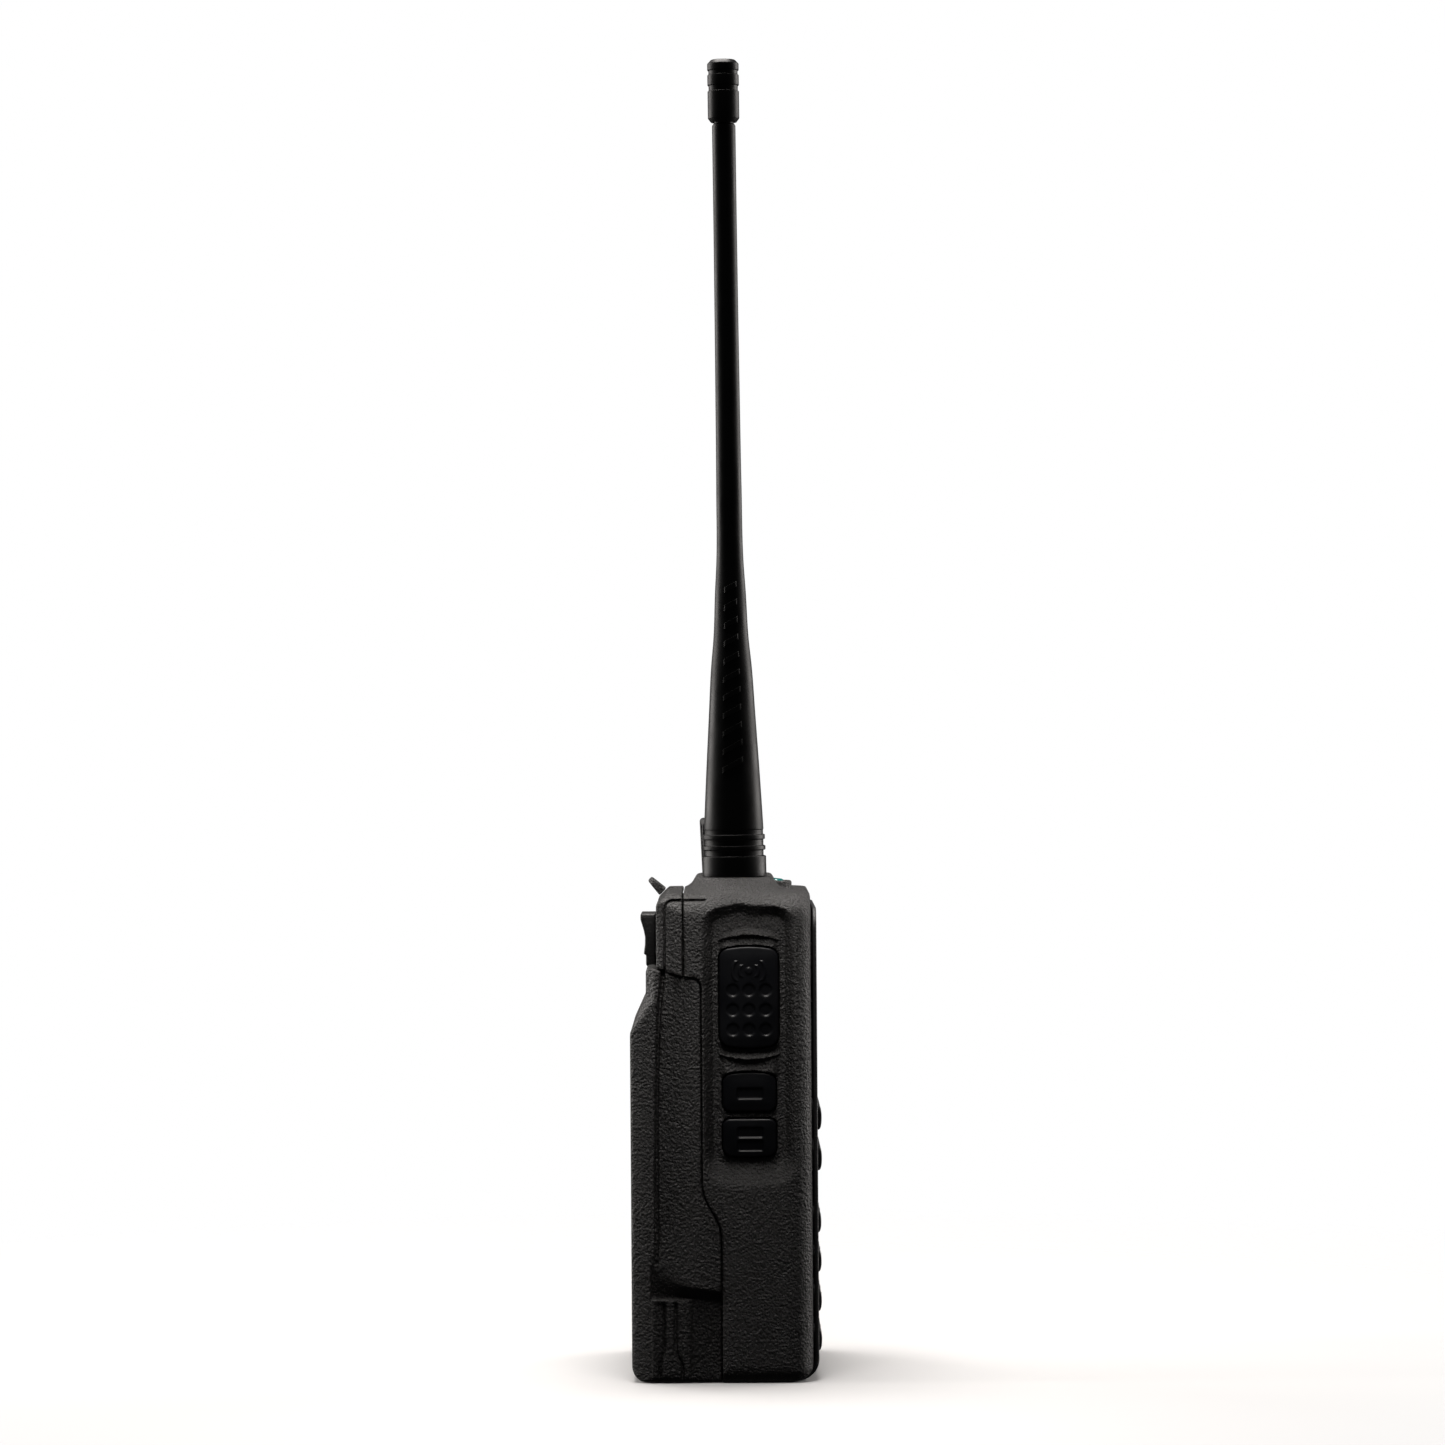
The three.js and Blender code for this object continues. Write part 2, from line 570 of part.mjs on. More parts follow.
function displayModule() {
  return join(
    block(-18.6, 18.6, -18.7, -16, WINDOW.low + 1, WINDOW.top - 1),
    block(-16, 16, -16.1, -15.9, WINDOW.low + 2, WINDOW.top - 2),
  );
}

function speakerBasket() {
  const frame = alongY(rectangle(-17, 17, 85, 105, 5), -17.2, -13.6);
  const magnet = alongY(circle(0, SPEAKER.z, 6.4, 16), -13.7, -9.6);
  const room = alongY(rectangle(-15.6, 15.6, 86.4, 103.6, 4), -18, -14.4);
  return cut(join(frame, magnet), room);
}

function speakerCone() {
  const rim = alongY(rectangle(-15.2, 15.2, 86.8, 103.2, 4), -16.4, -15.6);
  const dome = alongY(circle(0, SPEAKER.z, 5.4, 16), -16.9, -14.8);
  return join(rim, dome);
}

function volumeSwitch() {
  const { x, y } = KNOB;
  return join(
    block(x - 5.6, x + 5.6, y - 5.6, y + 5.6, 99.4, 105.6),
    rod(3.5, x, y, 105.5, 114.6, 16),
    rod(2.9, x, y, 114.5, 121, 16),
  );
}

function volumeNut() {
  const nut = alongZ(circle(KNOB.x, KNOB.y, 5, 6), PLATFORM.top + GAP, 113.9);
  return cut(nut, rod(3.8, KNOB.x, KNOB.y, 110, 116, 16));
}

function volumeKnob() {
  const { base, top, radius } = KNOB;
  const body = turned([
    [0, 121.4], [3.2, 121.4], [3.2, 115], [5.4, 115], [5.4, base],
    [radius - 0.5, base], [radius - 0.2, base + 0.6], [radius, top - 1], [radius - 0.9, top], [0, top],
  ], KNOB.x, KNOB.y, KNOB.sides);
  const pointer = block(KNOB.x - 0.5, KNOB.x + 0.5, KNOB.y - 5.6, KNOB.y - 2, top - 0.5, top + 1);
  return cut(body, pointer);
}

function antennaSocket() {
  const { x, y } = AERIAL;
  return turned([
    [0, 100], [4, 100], [4, 105.8], [3.175, 105.8], [3.175, 117.4], [1.1, 117.4], [1.1, 112], [0, 112],
  ], x, y, 16);
}

function accessoryJack() {
  const face = HALF_WIDTH - JACK.depth - GAP;
  const body = block(20.5, face, JACK.y0 + 4, JACK.y1 - 4, JACK.z0 + 3.4, JACK.z1 - 3.4);
  const middle = (JACK.y0 + JACK.y1) / 2;
  const sockets = JACK_SOCKETS.map(([z, radius]) =>
    alongX(circle(middle, z, radius, 12), 22.5, face + 1));
  return cut(body, ...sockets);
}

const COVER_PIVOT = { x: HALF_WIDTH - 0.95, y: JACK.y1 - 1.3, radius: 0.85 };

function jackCover() {
  const { x, y, radius } = COVER_PIVOT;
  const plate = block(x - radius, x + radius, JACK.y0 + 0.4, y, JACK.z0 + 0.4, JACK.z1 - 0.4);
  const hinge = alongZ(circle(x, y, radius, 16), JACK.z0 + 0.4, JACK.z1 - 0.4);
  return join(plate, hinge);
}

// ---- Antenna, built on its own axis and then leaned back a little ----
const aerialProfile = [
  [7.15, 112.5], [7.25, 112.9], [7.2, 116.9], [6.65, 117], [6.65, 118.2], [7.1, 118.3], [7.1, 119.2],
  [6.65, 119.3], [6.65, 120.6], [7, 120.7], [7, 121.7], [6.6, 121.8], [6.6, 122.85], [6.7, 122.9],
  [6.25, 131.8], [5.25, 148.7], [4.55, 160], [4, 165.6], [3.45, 176.9], [3.1, 182.6], [2.87, 199.5],
  [2.75, 222], [2.65, 256], [2.65, 282.1],
];

function antennaSheath() {
  const outer = aerialProfile;
  const inner = [[1.15, 282.1], [1.15, 121.4], [4.4, 121.4], [4.4, 112.5]];
  return turned([...outer, ...inner, outer[0]], 0, 0, AERIAL.sides);
}

function antennaTip() {
  return turned([
    [0, 282.4], [2.9, 282.4], [3.55, 283.2], [3.55, 289.4], [3.3, 289.5], [3.3, 290.6], [3.55, 290.7],
    [3.55, 293.1], [3.3, 293.2], [3.3, 294], [3.55, 294.1], [3.55, 295.6], [2.7, 296.5], [0, 296.5],
  ], 0, 0, AERIAL.sides);
}

function antennaPlug() {
  return turned([
    [0, 113.4], [0.75, 113.4], [0.75, 118.4], [3.5, 118.4],
    [3.5, 112.8], [4.05, 112.8], [4.05, 121], [0, 121],
  ], 0, 0, 16);
}

const antennaCore = () => rod(0.8, 0, 0, 121.7, 281.9, 8);

// ---- The assembly ----
const radio = new THREE.Group();
radio.name = "two_way_radio";

function place(name, solid, material, group = radio) {
  const mesh = new THREE.Mesh(toGeometry(solid), material);
  mesh.name = name;
  group.add(mesh);
}

place("front_housing", housing(), BODY);
place("front_bezel", bezel(), BODY);
place("rear_cover", rearCover(), BODY);
place("chassis", chassis(), METAL);
place("strap_eyelet", strapEyelet(), BODY);
place("display_window", block(-19.7, 19.7, -20.2, -19, WINDOW.low + GAP, WINDOW.top - GAP), CLEAR);
place("display_module", displayModule(), DARK);
place("keypad_mat", block(-25, 25, -17.2, -16.2, 4.2, 62.6), RUBBER);
place("speaker_basket", speakerBasket(), METAL);
place("speaker_cone", speakerCone(), DARK);
place("microphone", alongY(circle(MICROPHONE.x, MICROPHONE.z, MICROPHONE.radius, 12), -17.2, -15.9), METAL);
place("main_board", mainBoard(), BOARD);
place("shield_can", shieldCan(), METAL);
place("side_key_board", sideKeyBoard(), BOARD);
place("volume_switch", volumeSwitch(), METAL);
place("volume_nut", volumeNut(), METAL);
place("antenna_socket", antennaSocket(), BRASS);
place("accessory_jack", accessoryJack(), DARK);
place("terminal_block", terminalBlock(), DARK);
place("latch_spring", latchSpring(), METAL);
SCREWS.forEach(([x, y, z], i) => place(`chassis_screw_${i + 1}`, screw(x, y, z), METAL));

const lampProfile = [
  [0, 106.8], [LAMP.radius - 0.8, 106.8], [LAMP.radius - 0.8, BODY_TOP + GAP],
  [LAMP.radius, BODY_TOP + GAP], [LAMP.radius, 110.2],
  [LAMP.radius - 0.7, 111], [LAMP.radius - 1.5, LAMP.top], [0, LAMP.top],
];
place("lamp_lens", turned(lampProfile, LAMP.x, LAMP.y, 16), LENS);

place("talk_button", talkButton(), RUBBER);
for (const key of SIDE_KEYS) place(key.name, sideKey(key), RUBBER);
place("battery_latch", latch(), BODY);
place("jack_cover", jackCover(), RUBBER);
place("volume_knob", volumeKnob(), RUBBER);

for (const [label, keys, rows] of [
  ["number_key", NUMBER_KEYS, NUMBER_ROWS],
  ["function_key", FUNCTION_KEYS, FUNCTION_ROWS],
]) {
  let count = 0;
  for (const z of rows)
    for (const x of keyPlaces(keys)) {
      count += 1;
      place(`${label}_${String(count).padStart(2, "0")}`, keyCap(x, z, keys), RUBBER);
    }
}

place("battery_case", batteryCase(), BODY);
place("battery_lid", batteryLid(), DARK);
place("battery_cell_left", cell(-26), CELL);
place("battery_cell_right", cell(0.6), CELL);
place("battery_board", batteryBoard(), BOARD);

const aerial = new THREE.Group();
aerial.position.set(AERIAL.x, AERIAL.y, 0);
const lean = THREE.MathUtils.degToRad(AERIAL.lean);
aerial.rotation.x = -lean;
aerial.position.y -= Math.sin(lean) * AERIAL.base;
aerial.position.z += (1 - Math.cos(lean)) * AERIAL.base;
radio.add(aerial);
place("antenna_sheath", antennaSheath(), RUBBER, aerial);
place("antenna_tip", antennaTip(), RUBBER, aerial);
place("antenna_plug", antennaPlug(), BRASS, aerial);
place("antenna_core", antennaCore(), METAL, aerial);

export default radio;
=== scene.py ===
"""A handheld two way radio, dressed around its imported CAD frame.

The moulded parts are distance fields: a function gives each point's distance to the surface, in
millimetres, and OpenVDB turns the field into a closed mesh. Sizes are in millimetres in the CAD frame:
-Y is the keypad, +Y the battery, -X the talk button side, +Z up.
"""

import json
import math
from functools import reduce
from types import SimpleNamespace as Sizes

import bmesh
import bpy
import numpy as np
import openvdb
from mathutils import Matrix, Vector

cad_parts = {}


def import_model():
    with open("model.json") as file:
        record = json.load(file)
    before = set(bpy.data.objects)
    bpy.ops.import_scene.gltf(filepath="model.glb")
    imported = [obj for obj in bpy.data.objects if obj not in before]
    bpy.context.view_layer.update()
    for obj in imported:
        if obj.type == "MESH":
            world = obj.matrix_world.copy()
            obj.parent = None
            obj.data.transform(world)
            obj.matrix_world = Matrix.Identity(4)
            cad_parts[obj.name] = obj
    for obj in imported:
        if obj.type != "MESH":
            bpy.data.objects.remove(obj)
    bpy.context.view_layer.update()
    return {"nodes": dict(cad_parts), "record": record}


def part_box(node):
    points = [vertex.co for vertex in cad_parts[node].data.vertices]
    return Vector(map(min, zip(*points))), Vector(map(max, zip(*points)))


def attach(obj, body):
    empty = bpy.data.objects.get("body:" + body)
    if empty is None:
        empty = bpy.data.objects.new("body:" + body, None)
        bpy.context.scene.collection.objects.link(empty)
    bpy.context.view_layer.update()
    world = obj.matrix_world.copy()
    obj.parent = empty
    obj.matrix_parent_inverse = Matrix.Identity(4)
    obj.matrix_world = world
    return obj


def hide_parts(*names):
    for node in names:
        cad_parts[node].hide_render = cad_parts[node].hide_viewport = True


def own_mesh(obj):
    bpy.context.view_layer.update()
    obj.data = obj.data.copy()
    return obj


MM = 0.001
FAR = 300.0  # beyond the object on any side
HALF_WIDTH = 30.0
BODY_TOP = 109.0
FRONT_Y = -20.4
HOUSING_FRONT_Y = -19.2
BACK_Y = 21.4
SHOULDER = 5.6
FOOT_RADIUS = 3.0
SEAM_HALF = 0.15  # half of the gap between touching pieces
SEAM_EDGE = 0.3  # the round along a moulding's seams
COVER_SEAM_Y = 9.4
BATTERY_TOP = 90.0
DIAGONAL = math.sqrt(0.5)


# ---- Distance fields ----
def round_max(a, b, radius):
    """Where two solids meet in an outer edge of that radius."""
    return np.minimum(np.maximum(a, b), -radius) + np.hypot(
        np.maximum(a + radius, 0), np.maximum(b + radius, 0)
    )


def round_min(a, b, radius):
    """The join of two solids with a fillet of that radius."""
    return -round_max(-a, -b, radius)


def common(*solids):
    """What several solids have in common, with sharp edges."""
    return reduce(np.maximum, solids)


def cut(solid, radius, *holes):
    """The solid without the holes, each with a rounded rim."""
    for hole in holes:
        solid = round_max(solid, -hole, radius)
    return solid


def smooth(t):
    """0 below 0, 1 above 1, and a smooth S between."""
    t = np.clip(t, 0, 1)
    return t * t * (3 - 2 * t)


def ramped(v, base, rise, start, length):
    """The base plus a smooth rise over that length; a negative length leads toward lower values."""
    return base + rise * smooth((v - start) / length)


def slab(v, low, high):
    """Distance to the space between two planes."""
    return np.maximum(low - v, v - high)


def block(g, low, high):
    """Distance to a box with sharp edges."""
    return common(*map(slab, (g.x, g.y, g.z), low, high))


def rounded(du, dv, radius):
    """Distance to a rounded corner, from how far a point lies past each of its two sides."""
    du, dv = du + radius, dv + radius
    outside = np.hypot(np.maximum(du, 0), np.maximum(dv, 0))
    return outside + np.minimum(np.maximum(du, dv), 0) - radius


def rounded_box2(u, v, centre, half, radius):
    """Distance to a rounded rectangle in a plane."""
    return rounded(np.abs(u - centre[0]) - half[0], np.abs(v - centre[1]) - half[1], radius)


def rounded_span(u, v, u0, u1, v0, v1, radius):
    """rounded_box2 by its sides."""
    return rounded_box2(u, v, ((u0 + u1) / 2, (v0 + v1) / 2), ((u1 - u0) / 2, (v1 - v0) / 2), radius)


def disc(u, v, centre, radius):
    """Distance to a circle in a plane."""
    return np.hypot(u - centre[0], v - centre[1]) - radius


def outline(corners, steps=6):
    """Points of an outline through corners (u, v, radius), each turned into an arc."""
    points = []
    for i, (u, v, radius) in enumerate(corners):
        corner = np.array((u, v))
        if not radius:
            points.append(corner)
            continue
        before = np.array(corners[i - 1][:2]) - corner
        after = np.array(corners[(i + 1) % len(corners)][:2]) - corner
        before /= np.hypot(*before)
        after /= np.hypot(*after)
        half_angle = math.acos(float(np.clip(before @ after, -1, 1))) / 2
        middle = (before + after) / np.hypot(*(before + after))
        centre = corner + middle * radius / math.sin(half_angle)
        start = corner + before * radius / math.tan(half_angle) - centre
        end = corner + after * radius / math.tan(half_angle) - centre
        sweep = math.copysign(math.pi - 2 * half_angle, start[0] * end[1] - start[1] * end[0])
        count = max(2, round(steps * abs(sweep) / (math.pi / 2)))
        for angle in np.linspace(0, sweep, count + 1):
            c, s = math.cos(angle), math.sin(angle)
            points.append(centre + (c * start[0] - s * start[1], s * start[0] + c * start[1]))
    return np.array(points)


def polygon(u, v, corners):
    """Distance to the outline through those corners in a plane, negative inside."""
    points = outline(corners)
    u, v = np.broadcast_arrays(u, v)
    nearest = np.full(u.shape, np.inf)
    inside = np.zeros(u.shape, bool)
    for (au, av), (bu, bv) in zip(points, np.roll(points, -1, axis=0)):
        eu, ev = bu - au, bv - av
        length2 = eu * eu + ev * ev
        if length2 < 1e-12:
            continue
        t = np.clip(((u - au) * eu + (v - av) * ev) / length2, 0, 1)
        nearest = np.minimum(nearest, (u - au - t * eu) ** 2 + (v - av - t * ev) ** 2)
        if ev:
            inside ^= ((av > v) != (bv > v)) & (u < eu * (v - av) / ev + au)
    distance = np.sqrt(nearest)
    return np.where(inside, -distance, distance)


def wall(height, x, spacing):
    """Distance to a wall whose outer face stands at -height(y, z), corrected for its slope."""
    slope_y, slope_z = np.gradient(height[0], spacing, spacing)
    steep = np.sqrt(1 + slope_y**2 + slope_z**2)[None]
    return (-x - height) / steep


class Grid:
    """Sample points in a box, as three arrays that broadcast."""

    def __init__(self, low, high, step):
        self.low = np.array(low, float) - 3 * step
        self.step = step
        count = np.ceil((np.array(high, float) - self.low) / step).astype(int) + 4
        axes = [self.low[k] + step * np.arange(count[k]) for k in range(3)]
        axes = [axis.astype(np.float32) for axis in axes]
        self.x = axes[0][:, None, None]
        self.y = axes[1][None, :, None]
        self.z = axes[2][None, None, :]
        self.shape = tuple(count)

    def mesh(self, name, field, adaptivity=0.02):
        """A smooth-shaded mesh of the field's zero surface."""
        reach = 3 * self.step
        values = np.clip(np.broadcast_to(field, self.shape), -reach, reach).astype(np.float32)
        grid = openvdb.FloatGrid(reach)
        grid.copyFromArray(values, tolerance=0.0)
        points, triangles, quads = grid.convertToPolygons(isovalue=0.0, adaptivity=adaptivity)
        places = (points * self.step + self.low) * MM
        mesh = bpy.data.meshes.new(name)
        mesh.from_pydata(places.tolist(), [], quads.tolist() + triangles.tolist())
        mesh.update()
        mesh.shade_smooth()
        return mesh


def mesh_of(name, bm):
    """A smooth-shaded mesh of what was built, its faces turned outward."""
    bmesh.ops.recalc_face_normals(bm, faces=bm.faces)
    mesh = bpy.data.meshes.new(name)
    bm.to_mesh(mesh)
    bm.free()
    mesh.shade_smooth()
    return mesh


def add_piece(name, mesh, body, replaces, material):
    """Links a mesh as a piece that rides on a body and stands for CAD nodes."""
    piece = bpy.data.objects.new(name, mesh)
    bpy.context.scene.collection.objects.link(piece)
    piece.data.materials.append(material)
    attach(piece, body)
    if replaces:
        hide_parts(*replaces)
    return piece


# ---- Materials ----
# Grain sizes and bump depths are in metres, noise scales in waves a metre.
MOULDED_CELL, MOULDED_DEPTH = 0.00055, 0.00036
FINE_CELL, FINE_DEPTH = 0.0004, 0.00006
RUBBER_TOOTH, RUBBER_DEPTH = 0.0004, 0.000006
METAL_GRAIN, METAL_DEPTH = 0.00025, 0.000004
TRACK_DEPTH = 0.00003
DISPLAY = (("X", 0.0, 0.0172), ("Z", 0.0739, 0.0078))  # axis, middle and half size of the lit field
DISPLAY_EDGE = 0.0001
BODY_BLACK = (0.0185, 0.018, 0.0176)


def darkened(colour, factor, lift=0.0):
    """A colour with each part scaled and then lifted; a factor above 1 makes it paler."""
    return tuple(part * factor + lift for part in colour)


class Nodes:
    """Short ways to build a node tree."""

    def __init__(self, tree):
        self.nodes = tree.nodes
        self.links = tree.links

    def find(self, kind):
        return next(node for node in self.nodes if node.type == kind)

    def add(self, kind, numbers, feeds, **settings):
        """A new node with its settings, its fixed inputs and the outputs that feed the others."""
        node = self.nodes.new(kind)
        for key, value in settings.items():
            setattr(node, key, value)
        self.fill(node, numbers, feeds)
        return node

    def fill(self, node, numbers, feeds):
        for socket, number in numbers.items():
            node.inputs[socket].default_value = number
        for socket, output in feeds.items():
            self.links.new(output, node.inputs[socket])

    def place(self):
        """Where the point is on the object."""
        return self.nodes.new("ShaderNodeTexCoord").outputs["Object"]

    def noise(self, scale, detail, roughness=0.5):
        numbers = {"Scale": scale, "Detail": detail, "Roughness": roughness}
        return self.add("ShaderNodeTexNoise", numbers, {"Vector": self.place()}).outputs["Fac"]

    def spread(self, value, low, high, out_low, out_high):
        """Maps value from low..high to out_low..out_high."""
        numbers = {"From Min": low, "From Max": high, "To Min": out_low, "To Max": out_high}
        return self.add("ShaderNodeMapRange", numbers, {"Value": value}).outputs["Result"]

    def drift(self, scale, detail, out_low, out_high, high=0.7):
        """A value that drifts between out_low and out_high over the surface."""
        return self.spread(self.noise(scale, detail), 0.3, high, out_low, out_high)

    def two_colours(self, factor, first, second):
        numbers = {"A": (*first, 1), "B": (*second, 1)}
        mix = self.add("ShaderNodeMix", numbers, {"Factor": factor}, data_type="RGBA")
        return mix.outputs["Result"]

    def bump(self, height, depth, after=None):
        """A bump of that depth, laid over an earlier one."""
        feeds = {"Height": height}
        if after:
            feeds["Normal"] = after
        numbers = {"Strength": 1.0, "Distance": depth}
        return self.add("ShaderNodeBump", numbers, feeds).outputs["Normal"]

    def leather_grain(self, cell, depth):
        """Moulded spark grain: soft cells of that size with a finer crumble over them."""
        vector = {"Vector": self.place()}
        cells = self.add("ShaderNodeTexVoronoi", {"Scale": 1 / cell}, vector, feature="SMOOTH_F1")
        coarse = self.bump(cells.outputs["Distance"], depth)
        return self.bump(self.noise(1.4 / cell, 4.0, 0.62), depth, coarse)


class Look(Nodes):
    """A material under construction, with one Principled shader."""

    def __init__(self, name):
        self.material = bpy.data.materials.new(name)
        self.material.use_nodes = True
        super().__init__(self.material.node_tree)
        self.shader = self.find("BSDF_PRINCIPLED")

    def finish(self, numbers, feeds):
        """Sets the shader's fixed numbers, feeds its other inputs and gives the material."""
        self.fill(self.shader, numbers, feeds)
        return self.material


def moulded(name, colour, roughness, cell=MOULDED_CELL, depth=MOULDED_DEPTH, wear=0.3):
    """Grained plastic, with slight gloss changes and paler edges."""
    look = Look(name)
    pointiness = look.nodes.new("ShaderNodeNewGeometry").outputs["Pointiness"]
    edges = look.spread(pointiness, 0.52, 0.62, 0, wear)
    return look.finish({"Specular IOR Level": 0.5}, {
        "Base Color": look.two_colours(edges, colour, darkened(colour, 1.9, 0.012)),
        "Roughness": look.drift(55, 5, roughness - 0.06, roughness + 0.06),
        "Normal": look.leather_grain(cell, depth),
    })


def smooth_rubber(name, colour, roughness, depth=RUBBER_DEPTH):
    """Satin rubber with a fine matt tooth and faint handling marks."""
    look = Look(name)
    marks = look.spread(look.noise(90, 6, 0.6), 0.42, 0.7, 0, 1)
    return look.finish({"Specular IOR Level": 0.3}, {
        "Base Color": look.two_colours(marks, colour, darkened(colour, 1.35, 0.002)),
        "Roughness": look.drift(160, 4, roughness - 0.07, roughness + 0.07),
        "Normal": look.bump(look.noise(1 / RUBBER_TOOTH, 3), depth),
    })


def metal(name, colour, roughness):
    """Bare or plated metal with a fine blasted grain."""
    look = Look(name)
    tarnish = look.spread(look.noise(70, 5), 0.35, 0.7, 0, 0.5)
    return look.finish({"Metallic": 1.0}, {
        "Base Color": look.two_colours(tarnish, colour, darkened(colour, 0.6)),
        "Roughness": look.drift(200, 4, roughness - 0.08, roughness + 0.08),
        "Normal": look.bump(look.noise(1 / METAL_GRAIN, 2), METAL_DEPTH),
    })


def glossy(name, colour, roughness, coat=0.0):
    """Clear-coated plastic, with faint smears in its gloss."""
    look = Look(name)
    return look.finish({"Coat Weight": coat}, {
        "Base Color": look.two_colours(look.drift(300, 2, 0, 0.3), colour, darkened(colour, 0.6)),
        "Roughness": look.drift(60, 4, roughness * 0.7, roughness * 1.6, 0.75),
    })


def display_glass(name):
    """Dark glass with the grey-green field of a switched-off liquid crystal display behind it."""
    look = Look(name)
    split = look.add("ShaderNodeSeparateXYZ", {}, {"Vector": look.place()})
    sides = []
    for axis, middle, half in DISPLAY:
        shift = look.add("ShaderNodeMath", {1: middle}, {0: split.outputs[axis]}, operation="SUBTRACT")
        away = look.add("ShaderNodeMath", {}, {0: shift.outputs["Value"]}, operation="ABSOLUTE")
        sides.append(look.spread(away.outputs["Value"], half - DISPLAY_EDGE, half + DISPLAY_EDGE, 1, 0))
    field = look.add("ShaderNodeMath", {}, {0: sides[0], 1: sides[1]}, operation="MULTIPLY")
    return look.finish({"Coat Weight": 0.5}, {
        "Base Color": look.two_colours(field.outputs["Value"], (0.008, 0.009, 0.011), (0.075, 0.09, 0.07)),
        "Roughness": look.drift(60, 4, 0.05, 0.12, 0.75),
    })


def circuit_board(name):
    """Green solder mask over a faint pattern of copper tracks."""
    look = Look(name)
    numbers = {"Scale": 260, "Mortar Size": 0.03}
    tracks = look.add("ShaderNodeTexBrick", numbers, {"Vector": look.place()}).outputs["Fac"]
    return look.finish({}, {
        "Base Color": look.two_colours(tracks, (0.012, 0.07, 0.04), (0.03, 0.16, 0.09)),
        "Roughness": look.drift(300, 3, 0.3, 0.5),
        "Normal": look.bump(tracks, TRACK_DEPTH),
    })


def legend_paint(name):
    """White printed legends, slightly worn."""
    look = Look(name)
    return look.finish({}, {
        "Base Color": look.two_colours(look.drift(900, 3, 0, 0.5), (0.62, 0.62, 0.6), (0.4, 0.4, 0.4)),
        "Roughness": look.drift(500, 3, 0.45, 0.6),
    })


def make_materials():
    """Every material by name; the names are the record's slots, then two of this script's own."""
    looks = {
        "body_plastic": (moulded, BODY_BLACK, 0.42),
        "battery_plastic": (moulded, (0.0185, 0.0178, 0.0174), 0.43, 0.00058),
        "bezel_plastic": (moulded, (0.018, 0.018, 0.019), 0.44, FINE_CELL, FINE_DEPTH),
        "dark_plastic": (moulded, (0.03, 0.03, 0.033), 0.55, 0.0005, 0.00002),
        "button_rubber": (smooth_rubber, (0.0035, 0.0038, 0.0052), 0.4),
        "key_rubber": (smooth_rubber, (0.016, 0.017, 0.019), 0.55),
        "knob_rubber": (smooth_rubber, (0.015, 0.015, 0.016), 0.5),
        "antenna_rubber": (smooth_rubber, (0.005, 0.005, 0.0053), 0.4, 0.00002),
        "chassis_metal": (metal, (0.55, 0.56, 0.57), 0.5),
        "steel": (metal, (0.6, 0.6, 0.59), 0.35),
        "brass": (metal, (0.78, 0.6, 0.3), 0.32),
        "circuit_board": (circuit_board,),
        "lamp_lens": (glossy, (0.004, 0.15, 0.14), 0.16, 0.6),
        "window": (display_glass,),
        "cell_wrap": (glossy, (0.03, 0.06, 0.12), 0.3),
        "latch_plastic": (moulded, (0.006, 0.006, 0.0062), 0.5, FINE_CELL, FINE_DEPTH),
        "legend_paint": (legend_paint,),
    }
    return {name: make(name, *values) for name, (make, *values) in looks.items()}


# ---- The outer form shared by the housing, the cover and the battery ----
SEAM = ((1.24, 34.4, 9.0), (5.5, 41.8, 9.0))  # the S-bend between housing and battery
# The long groove: up the side of the rear cover, round a corner and forward under the shoulder.
GROOVE_Y, GROOVE_Z, GROOVE_CORNER = 13.5, 107.4, 1.9
GROOVE_RIM = 0.12
GROOVE_FRONT = 3.6
HOUSING_GROOVE, COVER_GROOVE = (0.2, 0.55), (0.24, 0.8)  # half width and depth


def seam_corners(shift):
    return [(y + shift, z, radius) for y, z, radius in SEAM]


def front_form(g):
    """The front view's outline: rounded shoulders and feet."""
    top = rounded_span(g.x, g.z, -HALF_WIDTH, HALF_WIDTH, -FAR, BODY_TOP, SHOULDER)
    foot = rounded_span(g.x, g.z, -HALF_WIDTH, HALF_WIDTH, 0, FAR, FOOT_RADIUS)
    return np.maximum(top, foot)


def both_walls(g, height):
    """A wall of that height on each side."""
    return np.maximum(wall(height, g.x, g.step), wall(height, -g.x, g.step))


def groove_distance(y, z):
    """Distance in (Y, Z) to the middle of the groove's path."""
    corner_y = GROOVE_Y - GROOVE_CORNER
    corner_z = GROOVE_Z - GROOVE_CORNER
    upright = np.where(z < corner_z, np.abs(y - GROOVE_Y), np.inf)
    level = np.where(y < corner_y, np.abs(z - GROOVE_Z), np.inf)
    bend = np.abs(np.hypot(np.maximum(y - corner_y, 0), np.maximum(z - corner_z, 0)) - GROOVE_CORNER)
    bend = np.where((y >= corner_y) & (z >= corner_z), bend, np.inf)
    return np.minimum(np.minimum(upright, level), bend)


def carve_groove(solid, distance, half_width, depth):
    """Cuts a groove of that depth along a path, whatever way the surface faces."""
    return cut(solid, GROOVE_RIM, np.maximum(distance - half_width, -solid - depth))


